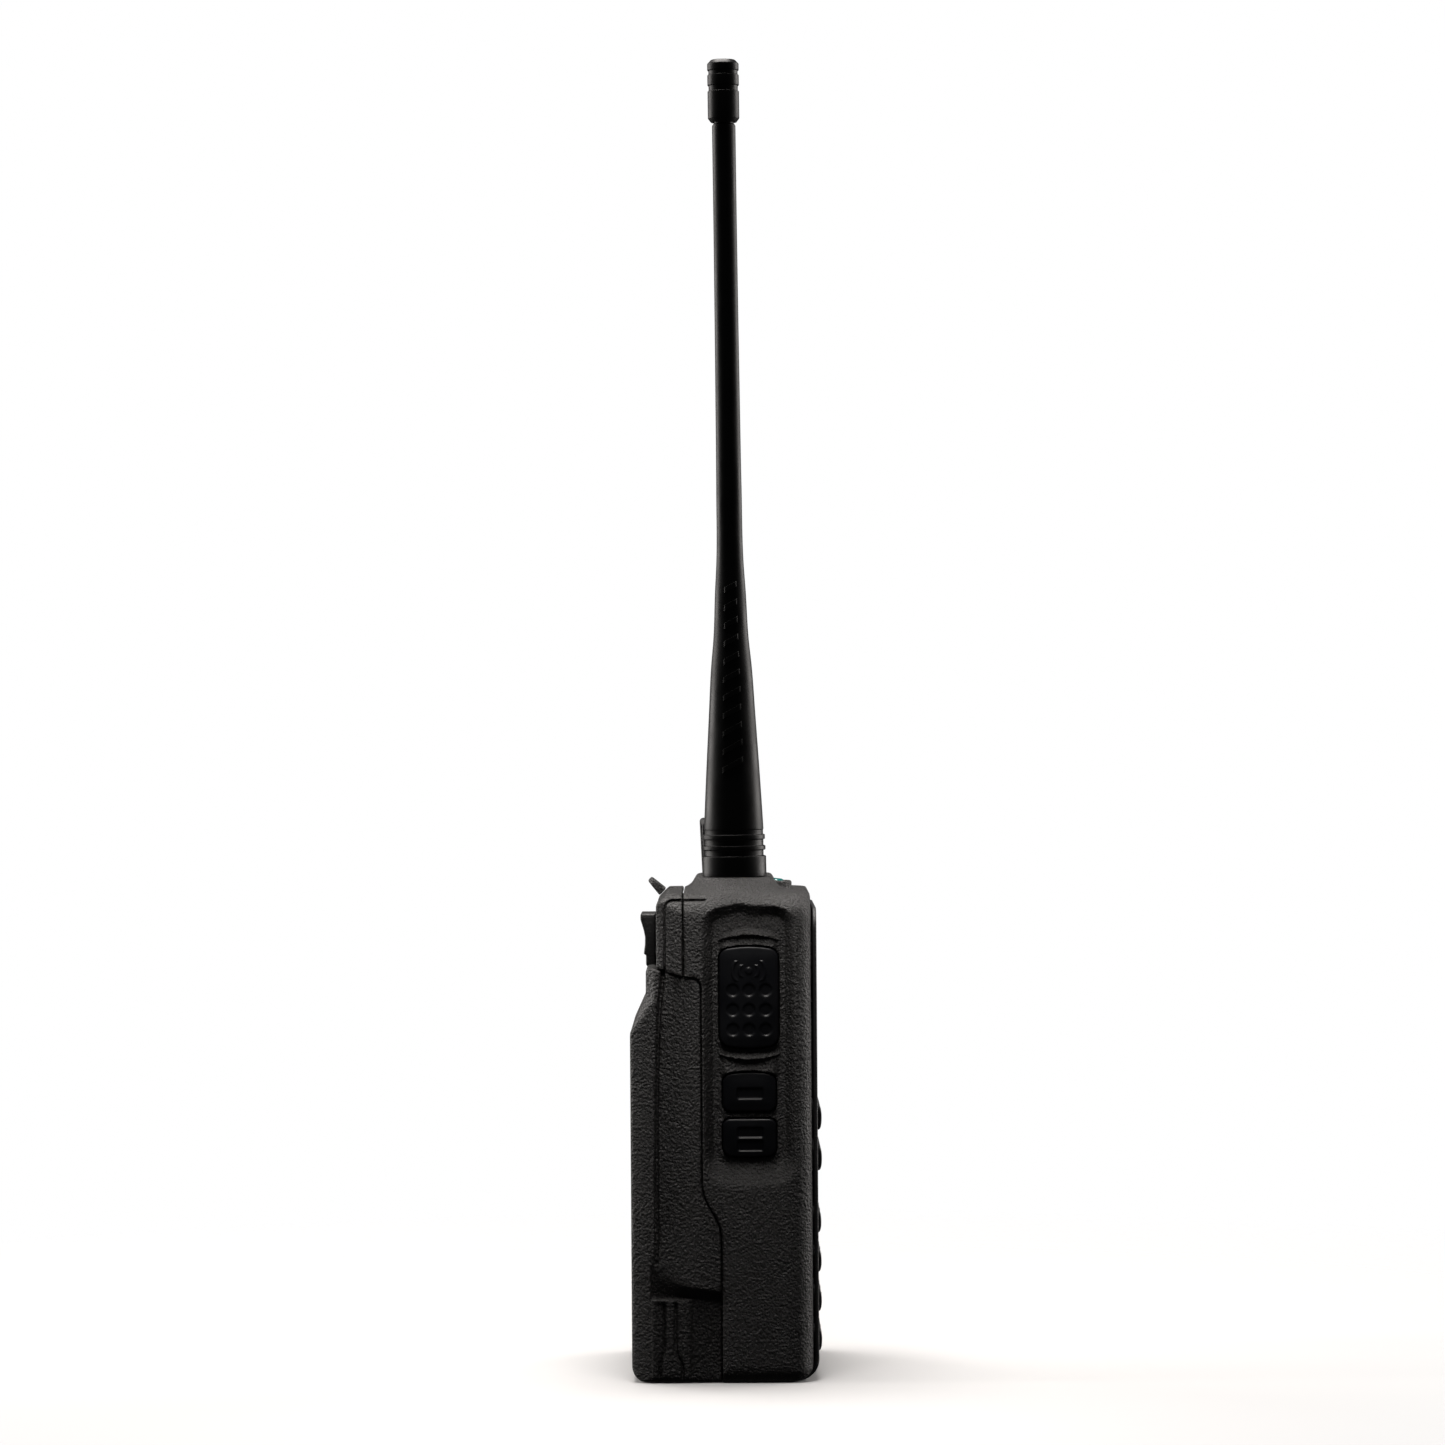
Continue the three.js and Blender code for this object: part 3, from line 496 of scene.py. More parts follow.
# ---- Front housing ----
# The talk button's side, with the basin that is sunk into it.
BASIN_FLOOR = (-13.2, 2.8, 48.7, 103.9, 2.6)
BASIN_RIM = (-15.6, 5.1, 43.8, 107.0, 6.0)
BASIN_DEPTH = (2.1, 0.7, 101.5, 3.5)  # deeper at its top end
NOTCH = Sizes(rise=1.0, y=-3.2, half=3.5, start=95, length=6)  # the peak in the top edge
BUTTON_MOAT = Sizes(rise=0.22, reach=1.6, width=0.8)
BUTTON_GAP = 0.28
BUTTON_RIM = 0.22
TALK = Sizes(y=(-11.76, 1.36), z=(74.5, 97.1), rise=(0.8, 0.8), radius=1.9, face=29.3,
        bars=())
SIDE_KEYS = {
    "side_key_upper": Sizes(y=(-11.1, 0.76), z=(60.4, 69.1), rise=(0.0, 0.7), radius=1.7,
                       face=29.0, bars=((63.2, 65.6),)),
    "side_key_lower": Sizes(y=(-11.1, 0.76), z=(50.2, 58.7), rise=(0.5, 0.0), radius=1.6,
                       face=29.0, bars=((51.6, 53.9), (54.6, 56.8))),
}
# Each brow: middle of its crest line, its bow, how thick the crest is, and the foot of the scoop below it.
BROWS = (
    Sizes(crest=99.7, bow=-1.3, thick=1.5, scoop=97.3, scoop_bow=-1.2),
    Sizes(crest=72.0, bow=1.2, thick=1.4, scoop=69.4, scoop_bow=-0.6),
)
BROW_HALF = 6.9
BROW_HEIGHT = 1.55
BROW_EDGE = 0.28  # how fast the crest falls into the scoop
SCOOP = Sizes(low=0.45, climb=0.55, end=1.2)
BUTTON_MIDDLE = -5.2

# The top: a raised platform for the antenna and the knob, and a collar round the lamp.
PLATFORM = Sizes(half=14, y=-2.2, radius=10.6, foot=108.6, top=112.2, edge=0.5)
PLATFORM_SLOPE = 0.583
PLATFORM_STEEP = 0.864
PLATFORM_ROOT = 107
NECK = Sizes(fillet=2.0, more=3.2, x=-17, y=7, x_length=6, y_length=3)
LAMP = (0.5, -11.4)
LAMP_COLLAR, LAMP_COLLAR_TOP, LAMP_FILLET = 3.9, 110.9, 0.4
FRONT_CORNER, FLAT_CORNER = 4.4, 1.2  # the front edge's round at the sides and in the middle
CORNER_START, CORNER_LENGTH = 20, 7

# Rooms inside and openings, as spans and (centre, radius) with how deep each goes.
HOUSING_WALL_Y = -17.5
HOUSING_ROOMS = ((-26.8, 27.8, 42, 106.4), (-27.8, 27.8, 2.4, 42.1))
ROOM_RIM = 0.2
OPENING_RIM = 0.15
FRONT_OPENINGS_Y = -15
FRONT_OPENINGS = ((-20.3, 20.3, 63.1, 84.7, 1), (-24.8, 24.8, 4.6, 62.4, 1), (-15, 15, 88, 103, 4))
JACK_OPENINGS = (((-7, 5, 76, 104, 1), 28), ((-3.4, 1.4, 79, 101, 1), 24))
TOP_OPENINGS = (((-14, -2.2), 4.3, 104), ((14, -1), 3.8, 104), (LAMP, 3.0, 109), (LAMP, 2.2, 104))
BUTTON_HOLE_X = -20


def arched(g, key, grow=0.0):
    """A rounded rectangle whose foot and top bow out by the key's rise, as a distance in the plane."""
    middle = sum(key.y) / 2
    half = (key.y[1] - key.y[0]) / 2
    fall = ((g.y - middle) / half) ** 2
    low = key.z[0] + key.rise[0] * fall
    high = key.z[1] - key.rise[1] * fall
    past_side = np.abs(g.y - middle) - half
    past_end = np.abs(g.z - (low + high) / 2) - (high - low) / 2
    return rounded(past_side, past_end, key.radius) - grow


def brow_height(y, z, brow):
    """How far a brow and the scoop below it stand out of the basin's floor."""
    across = np.clip((y - BUTTON_MIDDLE) / BROW_HALF, -1, 1)
    taper = np.sqrt(1 - across**2)
    crest = brow.crest + brow.bow * across**2
    foot = brow.scoop + brow.scoop_bow * across**2
    above = BROW_HEIGHT * taper * smooth(1 - (z - crest) / (brow.thick * taper + 0.05))
    fall = np.clip((crest - z) / np.maximum(crest - foot, 0.1), 0, 1.4)
    below = np.minimum(SCOOP.low + SCOOP.climb * fall, 1.0)
    below = below * smooth((z - foot + SCOOP.end) / SCOOP.end) * smooth((1 - np.abs(across)) * 4)
    under = smooth((crest - z) / BROW_EDGE)
    return above * (1 - under) + below * under


def talk_side(g):
    """How far the talk button's side stands from the middle plane, over (Y, Z)."""
    peak = smooth(1 - np.abs(g.y - NOTCH.y) / NOTCH.half)
    z = g.z - NOTCH.rise * peak * smooth((g.z - NOTCH.start) / NOTCH.length)
    floor = rounded_span(g.y, z, *BASIN_FLOOR)
    rim = rounded_span(g.y, z, *BASIN_RIM)
    ramp = np.clip(np.maximum(floor, 0) / np.maximum(np.maximum(floor, 0) - rim, 1e-3), 0, 1)
    depth = ramped(g.z, *BASIN_DEPTH) * (1 - ramp)
    for brow in BROWS:
        depth = depth - brow_height(g.y, g.z, brow) * (floor < 0.6)
    for key in (TALK, *SIDE_KEYS.values()):
        away = np.maximum(arched(g, key), 0)
        depth = depth - BUTTON_MOAT.rise * smooth(BUTTON_MOAT.reach - away / BUTTON_MOAT.width)
    return HALF_WIDTH - depth


def platform(g):
    """The raised top that carries the antenna and the knob."""
    radial = np.hypot(g.x - np.clip(g.x, -PLATFORM.half, PLATFORM.half), g.y - PLATFORM.y)
    taper = PLATFORM_SLOPE * np.maximum(g.z - PLATFORM.foot, 0)
    slope = (radial - PLATFORM.radius + taper) * PLATFORM_STEEP
    return np.maximum(round_max(slope, g.z - PLATFORM.top, PLATFORM.edge), PLATFORM_ROOT - g.z)


def lamp_rim(g):
    """The raised collar round the lamp."""
    collar = disc(g.x, g.y, LAMP, LAMP_COLLAR)
    return np.maximum(round_max(collar, g.z - LAMP_COLLAR_TOP, PLATFORM.edge), PLATFORM_ROOT - g.z)


def housing_field(g):
    cover_edge = COVER_SEAM_Y - SEAM_HALF
    step_z = BATTERY_TOP + 2 * SEAM_HALF
    side = polygon(g.y, g.z, [
        (HOUSING_FRONT_Y, 0, 4.0),
        (SEAM[0][0] - SEAM_HALF, 0, 0),
        *seam_corners(-SEAM_HALF),
        (SEAM[1][0] - SEAM_HALF, step_z, 2.3),
        (cover_edge, step_z, 0),
        (cover_edge, BODY_TOP, 0),
        (HOUSING_FRONT_Y, BODY_TOP, 0),
    ])
    near_side = smooth((np.abs(g.x) - CORNER_START) / CORNER_LENGTH)
    corner = FLAT_CORNER + (FRONT_CORNER - FLAT_CORNER) * near_side
    across = round_max(front_form(g), HOUSING_FRONT_Y - g.y, corner)
    across = np.maximum(across, wall(talk_side(g), g.x, g.step))
    solid = round_max(side, across, SEAM_EDGE)
    solid = carve_groove(solid, np.where(g.y > GROOVE_FRONT, groove_distance(g.y, g.z), FAR), *HOUSING_GROOVE)
    left = smooth((NECK.x - g.x) / NECK.x_length)
    ahead = smooth((NECK.y - g.y) / NECK.y_length)
    solid = round_min(solid, platform(g), NECK.fillet + NECK.more * left * ahead)
    solid = round_min(solid, lamp_rim(g), LAMP_FILLET)
    solid = np.maximum(solid, g.y - cover_edge)
    rooms = [common(slab(g.x, x0, x1), slab(g.z, z0, z1)) for x0, x1, z0, z1 in HOUSING_ROOMS]
    solid = cut(solid, ROOM_RIM, np.maximum(np.minimum(*rooms), HOUSING_WALL_Y - g.y))
    for key in (TALK, *SIDE_KEYS.values()):
        solid = cut(solid, BUTTON_RIM, np.maximum(arched(g, key, BUTTON_GAP), g.x - BUTTON_HOLE_X))
    holes = [np.maximum(rounded_span(g.x, g.z, *span), g.y - FRONT_OPENINGS_Y) for span in FRONT_OPENINGS]
    holes += [np.maximum(rounded_span(g.y, g.z, *span), x - g.x) for span, x in JACK_OPENINGS]
    holes += [np.maximum(disc(g.x, g.y, centre, radius), z - g.z) for centre, radius, z in TOP_OPENINGS]
    return cut(solid, OPENING_RIM, *holes, bezel_room(g))


# ---- Bezel ----
BEZEL = Sizes(half=26.0, top=105.6, radius=5.0, thick=0.9, wrap=-15.4, corner=4.8)
BEZEL_BEHIND = 90.0  # past the bezel's own limits, behind it and below it
BEZEL_BELOW = -20.0
BEZEL_GAP = 0.3
SUNK_AREAS = ((-24.6, 24.6, 4.6, 40.4, 3.0), (-24.6, 24.6, 44.6, 62.0, 3.0), (-22.2, 22.2, 64.0, 86.6, 3.0))
SUNK_DEPTH, SUNK_SLOPE = 0.28, 0.6
WINDOW = (-20.0, 20.0, 63.4, 84.4, 0.8)
NUMBER_KEYS = Sizes(columns=4, pitch=12.2, width=10.6, height=5.2, tall=0.75,
                    rows=(35.2, 26.4, 17.6, 8.8))
FUNCTION_KEYS = Sizes(columns=2, pitch=23.8, width=21.4, height=5.7, tall=1.0,
                      rows=(58.4, 49.3))
KEY_RADIUS = 1.5
SPEAKER_SLOTS = ((90.6, 10.5), (93.6, 13.0), (96.6, 13.0), (99.6, 10.5))
SLOT_HALF, SLOT_RADIUS = 0.6, 0.58
MICROPHONE, MICROPHONE_RADIUS = (22.8, 74), 0.7


def bezel_skin(y, z):
    """The bezel's outer profile, which turns under at the foot."""
    return rounded_span(y, z, FRONT_Y, BEZEL_BEHIND, 0, FAR, BEZEL.corner)


def bezel_face(g, grow=0.0):
    span = (-BEZEL.half, BEZEL.half, BEZEL_BELOW, BEZEL.top)
    return rounded_span(g.x, g.z, *span, BEZEL.radius) - grow


def bezel_room(g):
    """The space that the bezel needs in the housing."""
    ahead = -(bezel_skin(g.y, g.z) + BEZEL.thick + BEZEL_GAP)
    return common(ahead, bezel_face(g, BEZEL_GAP), g.y - BEZEL.wrap - BEZEL_GAP)


def key_centres(keys):
    for z in keys.rows:
        for column in range(keys.columns):
            yield (column - (keys.columns - 1) / 2) * keys.pitch, z


def bezel_field(g):
    skin = bezel_skin(g.y, g.z)
    areas = reduce(np.minimum, [rounded_span(g.x, g.z, *area) for area in SUNK_AREAS])
    sunk = SUNK_DEPTH * smooth(0.5 - areas / SUNK_SLOPE)
    solid = np.maximum(skin + sunk, -(skin + BEZEL.thick))
    solid = round_max(solid, bezel_face(g), SEAM_EDGE)
    solid = np.maximum(solid, g.y - BEZEL.wrap)
    holes = [rounded_span(g.x, g.z, *WINDOW), disc(g.x, g.z, MICROPHONE, MICROPHONE_RADIUS)]
    for keys in (NUMBER_KEYS, FUNCTION_KEYS):
        half = (keys.width / 2 + BEZEL_GAP, keys.height / 2 + BEZEL_GAP)
        holes += [rounded_box2(g.x, g.z, centre, half, KEY_RADIUS) for centre in key_centres(keys)]
    holes += [rounded_box2(g.x, g.z, (0, z), (half, SLOT_HALF), SLOT_RADIUS) for z, half in SPEAKER_SLOTS]
    return cut(solid, OPENING_RIM, reduce(np.minimum, holes))


# ---- Rear cover ----
COVER_BACK_Y = 15.4
COVER_WALL = 4  # how deep the cover's moulding goes below its outline
COVER_ROLL_Y, COVER_ROLL_LENGTH = 8.6, 5
COVER_CHAMFER = Sizes(x=27.9, depth=0.9, edge=0.8)
COVER_ROOM = ((-27.8, -FAR, 93.4), (27.8, 13.2, 106.4))
LATCH_SLOT = ((-4.3, -FAR, 94), (4.3, FAR, 102))
EYELET_SEAT = ((13.4, -FAR, 104), (18.6, 13.9, FAR))
LATCH_RECESS, LATCH_RECESS_Y = (-9, 9, 80, 106.6, 1.5), 14.9


def cover_field(g):
    front = COVER_SEAM_Y + SEAM_HALF
    side = polygon(g.y, g.z, [
        (front, 90.35, 0),
        (COVER_BACK_Y, 92.45, 0.3),
        (COVER_BACK_Y, 106.4, 0.7),
        (12.8, BODY_TOP, 0.7),
        (front, BODY_TOP, 0),
    ])
    roll = HALF_WIDTH - np.clip((g.y - COVER_ROLL_Y) / COVER_ROLL_LENGTH, 0, 2) ** 2 + 0 * g.z
    across = np.maximum(front_form(g), both_walls(g, roll))
    back = np.maximum(side, -COVER_WALL - side)
    chamfer = (g.y - COVER_BACK_Y + np.abs(g.x) - COVER_CHAMFER.x) * DIAGONAL - COVER_CHAMFER.depth
    solid = round_max(round_max(back, across, SEAM_EDGE), chamfer, COVER_CHAMFER.edge)
    solid = carve_groove(solid, groove_distance(g.y, g.z), *COVER_GROOVE)
    rooms = [block(g, *room) for room in (COVER_ROOM, LATCH_SLOT, EYELET_SEAT)]
    recess = np.maximum(rounded_span(g.x, g.z, *LATCH_RECESS), LATCH_RECESS_Y - g.y)
    return cut(solid, ROOM_RIM, *rooms, recess)


# ---- Battery ----
CREASE = ((93.0, 13.6), (90.0, 14.05), (84.0, 14.75), (76.0, 15.2), (56.0, 15.6), (26.0, 15.7))
CREASE_FOOT, CREASE_RIM = 26.5, 0.15
LIP = (
    (1.3, 20.4), (6.8, 21.1), (9.5, 21.7), (11.5, 22.4),
    (13.2, 23.5), (14.6, 25.0), (15.7, 27.1), (17.6, 31.0),
)
LIP_FOOT = 18.7
BACK_PROFILE = ((0.0, 21.4), (77.9, 21.4), (85.8, 17.8), (93.0, 17.75))
STEP_Y = 17.75
PANEL = Sizes(pull=0.95, y=4.5, y_length=7, z=18, z_length=50, ahead=0.45)
SHELL = Sizes(x=29.55, limit=29.0, y=15, length=6, most=1.3, slope=1.2, curve=0.7)
FOOT, VALLEY = (28.75, 0.6, 7.4, 1.4), (28.0, 0.3, 8, -4)  # as ramps over Y
CHANNEL_WIDTH, CHANNEL_DEPTH = (0.42, 0.08, 60, 30), (0.7, 0.3, 40, 45)  # as ramps over Z
GUIDE = Sizes(front=8.5, back=16.8, top=18.0, edge=0.3)  # the charger guide and the scoop end here
LEDGE = 18.75
RAILS = Sizes(back=14.1, front=11.6, half=0.45, edge=0.25, depth=0.45)
FLARE = Sizes(z=7.8, length=4.5, front=1.5)  # the rails part toward the foot
STRIP = Sizes(back=15.9, edge=0.2, depth=0.2)
TONGUE = Sizes(x=26.8, half=0.6, foot=3.2, top=88, back=9)
BATTERY_CHAMFER = Sizes(x=28.1, depth=0.55, edge=0.25)
BATTERY_ROOM = ((0, 3, 0), (19.2, 3, 2), (19.2, 77, 3), (15.9, 84.6, 3), (15.9, 87.6, 0), (0, 87.6, 0))
BATTERY_ROOM_X = 27
CONTACT_X, CONTACT_Y = 9, 12
LABEL = (-21.5, 21.5, 13, 66, 2.5)
LABEL_DEPTH = 0.4


def along(value, points):
    """A value read along (at, value) points."""
    at, out = zip(*sorted(points))
    return np.interp(value, at, out)


def battery_side(y, z):
    """How far the battery's side stands from the middle plane, over (Y, Z)."""
    y, z = np.broadcast_arrays(y, z)
    panel = PANEL.pull * smooth((y - PANEL.y) / PANEL.y_length)
    panel = HALF_WIDTH - panel * smooth((z - PANEL.z) / PANEL.z_length + PANEL.ahead)
    back = np.clip((y - SHELL.y) / SHELL.length, 0, SHELL.most)
    shell = SHELL.x - SHELL.slope * back - SHELL.curve * back**2
    behind = smooth((y - along(z, CREASE)) / 0.5 + 0.5)
    upper = panel * (1 - behind) + shell * behind
    foot = ramped(y, *FOOT)
    valley = ramped(y, *VALLEY)
    rise = np.clip((z - LIP_FOOT) / np.maximum(along(y, LIP) - LIP_FOOT, 0.5), 0, 1)
    side = valley * (1 - rise) + upper * rise
    side, foot = (np.where(y > GUIDE.back, np.minimum(shell, SHELL.limit), part) for part in (side, foot))
    ledge = smooth((LEDGE - z) / GUIDE.edge + 0.5)
    lower = side * (1 - ledge) + foot * ledge
    flare = smooth((FLARE.z - z) / FLARE.length)
    rails = (RAILS.back + flare, RAILS.front - FLARE.front * flare)
    lines = [smooth((RAILS.half - np.abs(y - rail)) / RAILS.edge) for rail in rails]
    strip = smooth((y - rails[0]) / STRIP.edge) * smooth((STRIP.back - y) / STRIP.edge)
    guide = RAILS.depth * np.maximum(*lines) + STRIP.depth * strip
    return lower - guide * smooth((GUIDE.top - z) / GUIDE.edge) * (y > GUIDE.front)


def battery_field(g):
    side = polygon(g.y, g.z, [
        (SEAM[0][0] + SEAM_HALF, 0, 0),
        (BACK_Y, 0, 3.6),
        (BACK_Y, 77.9, 3.0),
        (17.8, 85.8, 5.0),
        (STEP_Y, 92.3, 0.8),
        (16.0, 92.3, 0),
        (COVER_SEAM_Y, BATTERY_TOP, 0),
        (SEAM[1][0] + SEAM_HALF, BATTERY_TOP, 2.2),
        *reversed(seam_corners(SEAM_HALF)),
    ])
    across = np.maximum(front_form(g), both_walls(g, battery_side(g.y, g.z)))
    solid = round_max(side, across, SEAM_EDGE)
    inset = -0.25
    tongue = polygon(g.y, g.z, [
        (TONGUE.back, TONGUE.foot, 0),
        (TONGUE.back, TONGUE.top, 0),
        (SEAM[1][0] + inset, TONGUE.top, 0),
        *reversed(seam_corners(inset)),
        (SEAM[0][0] + inset, TONGUE.foot, 0),
    ])
    sheet = np.abs(np.abs(g.x) - TONGUE.x) - TONGUE.half
    solid = np.minimum(solid, np.maximum(tongue, sheet))
    chamfer = (g.y - along(g.z, BACK_PROFILE) + np.abs(g.x) - BATTERY_CHAMFER.x) * DIAGONAL
    solid = round_max(solid, chamfer + BATTERY_CHAMFER.depth, BATTERY_CHAMFER.edge)
    beside = np.abs(g.y - along(g.z, CREASE)) - ramped(g.z, *CHANNEL_WIDTH)
    channel = common(beside, -solid - ramped(g.z, *CHANNEL_DEPTH), CREASE_FOOT - g.z)
    solid = cut(solid, CREASE_RIM, channel)
    room = np.maximum(polygon(g.y, g.z, BATTERY_ROOM), np.abs(g.x) - BATTERY_ROOM_X)
    pads = np.maximum(disc(np.abs(g.x), g.y, (CONTACT_X, CONTACT_Y), 3.1), g.z - 4)
    notch = np.maximum(rounded_span(g.x, g.z, -9, 9, 91.2, 120, 0.8), 14 - g.y)
    label = np.maximum(rounded_span(g.x, g.z, *LABEL), BACK_Y - LABEL_DEPTH - g.y)
    return cut(solid, ROOM_RIM, room, pads, notch, label)


# ---- Buttons on the talk button's side ----
BUTTON_STEP = 0.11
PILLOW, PILLOW_REACH = 0.25, 2.5
BUTTON_EDGE = 0.4
BUTTON_FLANGE = Sizes(reach=0.9, front=-26.5, back=-25.7)
DIMPLE = Sizes(radius=1.6, wall=0.55, depth=0.32)
DIMPLE_ROWS, DIMPLE_COLUMNS = (78.6, 83.0, 87.4), (-8.9, -5.2, -1.6)
MARK_Z = 91.7
MARK_DOT, MARK_ARCS, MARK_HALF = 0.75, (2.1, 3.6), 0.28
MARK_OPENING = 0.62  # each arc reaches this part of its radius up and down
MARK_HEIGHT, MARK_EDGE = 0.2, 0.3
BAR_SIDES = (-8.2, -2.4)
BAR_DEPTH, BAR_EDGE, BAR_RADIUS = 0.4, 0.4, 0.5


def signal_mark(g):
    """A raised dot between two pairs of arcs."""
    away = disc(g.y, g.z, (BUTTON_MIDDLE, MARK_Z), 0)
    mark = away - MARK_DOT
    for radius in MARK_ARCS:
        arc = np.maximum(np.abs(away - radius) - MARK_HALF, np.abs(g.z - MARK_Z) - MARK_OPENING * radius)
        mark = np.minimum(mark, arc)
    return MARK_HEIGHT * smooth(0.5 - mark / MARK_EDGE)


def talk_marks(g):
    """The mark above rows of dished dimples, each with a flat floor and a narrow sloping wall."""
    marks = signal_mark(g)
    for z in DIMPLE_ROWS:
        for y in DIMPLE_COLUMNS:
            dish = disc(g.y, g.z, (y, z), DIMPLE.radius)
            marks = marks - DIMPLE.depth * smooth(-dish / DIMPLE.wall)
    return marks


def bar_marks(g, bars):
    """Sunk bars."""
    marks = 0
    for low, high in bars:
        bar = rounded_span(g.y, g.z, *BAR_SIDES, low, high, BAR_RADIUS)
        marks = marks - BAR_DEPTH * smooth(0.5 - bar / BAR_EDGE)
    return marks


def side_button(name, key, material):
    """A cushioned cap on its flange; a key with bars has those, and the talk button its own marks."""
    low = (-HALF_WIDTH - 0.2, key.y[0] - 1, key.z[0] - 1)
    high = (BUTTON_FLANGE.back + 0.2, key.y[1] + 1, key.z[1] + 1)
    g = Grid(low, high, BUTTON_STEP)
    edge = arched(g, key)
    marks = bar_marks(g, key.bars) if key.bars else talk_marks(g)
    height = key.face - PILLOW * smooth(1 + edge / PILLOW_REACH) + marks
    solid = round_max(edge, wall(height, g.x, g.step), BUTTON_EDGE)
    flange = np.maximum(edge - BUTTON_FLANGE.reach, BUTTON_FLANGE.front - g.x)
    solid = np.maximum(np.minimum(solid, flange), g.x - BUTTON_FLANGE.back)
    add_piece(f"{name}_cap", g.mesh(f"{name}_cap", solid), name, [name], material)


# ---- Keys on the front ----
LEGENDS = ("1", "2", "3", "up", "4", "5", "6", "down", "7", "8", "9", "ring", "*", "0", "#", "bar")
FUNCTION_LEGENDS = ("ring", "up", "bar", "down")
SHAPES = {
    "up": [(-1, -0.8), (1, -0.8), (0, 0.9)],
    "down": [(0, -0.9), (1, 0.8), (-1, 0.8)],
    "bar": [(-1.2, -0.35), (1.2, -0.35), (1.2, 0.35), (-1.2, 0.35)],
}
RING_STARTS, RING_GAP, RING_POINTS, RING_INSIDE = (0, math.pi), 0.25, 12, 0.66
SHAPE_SCALE, SHAPE_THICK = 1.05, 0.06
GLYPH_HEIGHT, GLYPH_THICK = 3.6, 0.02
KEY_STEP = 0.16
KEY_LOWER = 0.06  # each cap's face stands this much below its full height, for its legend
KEY_DOME, KEY_DOME_POWER, KEY_EDGE = 0.45, 2.5, 0.4
KEY_FLANGE = Sizes(reach=0.6, front=-18.9, back=-18.1)
KEY_MARGIN = 0.7
LEGEND_LIFT = 0.005


def glyph_mesh(character):
    """A flat character from Blender's own font, one unit high and slightly thick."""
    curve = bpy.data.curves.new("legend", "FONT")
    curve.body = character
    curve.size = 1.0
    curve.extrude = GLYPH_THICK
    curve.align_x = "CENTER"
    curve.align_y = "CENTER"
    holder = bpy.data.objects.new("legend", curve)
    bpy.context.scene.collection.objects.link(holder)
    graph = bpy.context.evaluated_depsgraph_get()
    mesh = bpy.data.meshes.new_from_object(holder.evaluated_get(graph))
    bpy.data.objects.remove(holder)
    bpy.data.curves.remove(curve)
    return mesh


def plate_into(bm, points, face_y, centre, scale):
    """Adds a thin plate with that outline, standing out of a face toward -Y."""
    rings = []
    for y in (face_y, face_y - SHAPE_THICK):
        rings.append([bm.verts.new(((centre[0] + u * scale) * MM, y * MM, (centre[1] + v * scale) * MM))
                      for u, v in points])
    faces = [bm.faces.new(rings[0]), bm.faces.new(rings[1][::-1])]
    for i in range(len(points)):
        j = (i + 1) % len(points)
        faces.append(bm.faces.new((rings[0][j], rings[0][i], rings[1][i], rings[1][j])))
    for face in faces:
        face.material_index = 1
    bmesh.ops.recalc_face_normals(bm, faces=faces)


def glyph_into(bm, character, face_y, centre, scale):
    """Adds a printed character, standing out of a face toward -Y."""
    mesh = glyph_mesh(character)
    first = len(bm.verts)
    bm.from_mesh(mesh)
    bm.verts.ensure_lookup_table()
    height = scale * GLYPH_HEIGHT
    for vert in bm.verts[first:]:
        u, v, w = vert.co
        vert.co = ((centre[0] + u * height) * MM, (face_y - w) * MM, (centre[1] + v * height) * MM)
    for face in {face for vert in bm.verts[first:] for face in vert.link_faces}:
        face.material_index = 1
    bpy.data.meshes.remove(mesh)


def legend_into(bm, legend, face_y, centre, scale):
    shapes = []
    if legend in SHAPES:
        shapes.append(SHAPES[legend])
    elif legend == "ring":
        for start in RING_STARTS:
            angles = np.linspace(start + RING_GAP, start + math.pi - RING_GAP, RING_POINTS)
            outer = [(math.cos(a), math.sin(a)) for a in angles]
            shapes.append(outer + [(RING_INSIDE * u, RING_INSIDE * v) for u, v in reversed(outer)])
    else:
        glyph_into(bm, legend, face_y, centre, scale)
    for points in shapes:
        plate_into(bm, points, face_y, centre, scale * SHAPE_SCALE)


def front_key(name, centre, keys, legend, materials):
    """A domed key cap on its flange, with a printed legend."""
    x, z = centre
    half = (keys.width / 2, keys.height / 2)
    face_y = FRONT_Y - keys.tall + KEY_LOWER
    low = (x - half[0] - KEY_MARGIN, face_y - 0.1, z - half[1] - KEY_MARGIN)
    high = (x + half[0] + KEY_MARGIN, KEY_FLANGE.back + 0.1, z + half[1] + KEY_MARGIN)
    g = Grid(low, high, KEY_STEP)
    edge = rounded_box2(g.x, g.z, centre, half, KEY_RADIUS)
    dome = KEY_DOME * np.clip(np.abs(g.z - z) / half[1], 0, 1) ** KEY_DOME_POWER + 0 * g.x
    solid = round_max(edge, face_y + dome - g.y, KEY_EDGE)
    flange = np.maximum(edge - KEY_FLANGE.reach, KEY_FLANGE.front - g.y)
    solid = np.maximum(np.minimum(solid, flange), g.y - KEY_FLANGE.back)
    mesh = g.mesh(name, solid, 0.05)
    bm = bmesh.new()
    bm.from_mesh(mesh)
    legend_into(bm, legend, face_y + LEGEND_LIFT, centre, keys.height / NUMBER_KEYS.height)
    bm.to_mesh(mesh)
    bm.free()
    piece = add_piece(f"{name}_cap", mesh, name, [name], materials["key_rubber"])
    piece.data.materials.append(materials["legend_paint"])


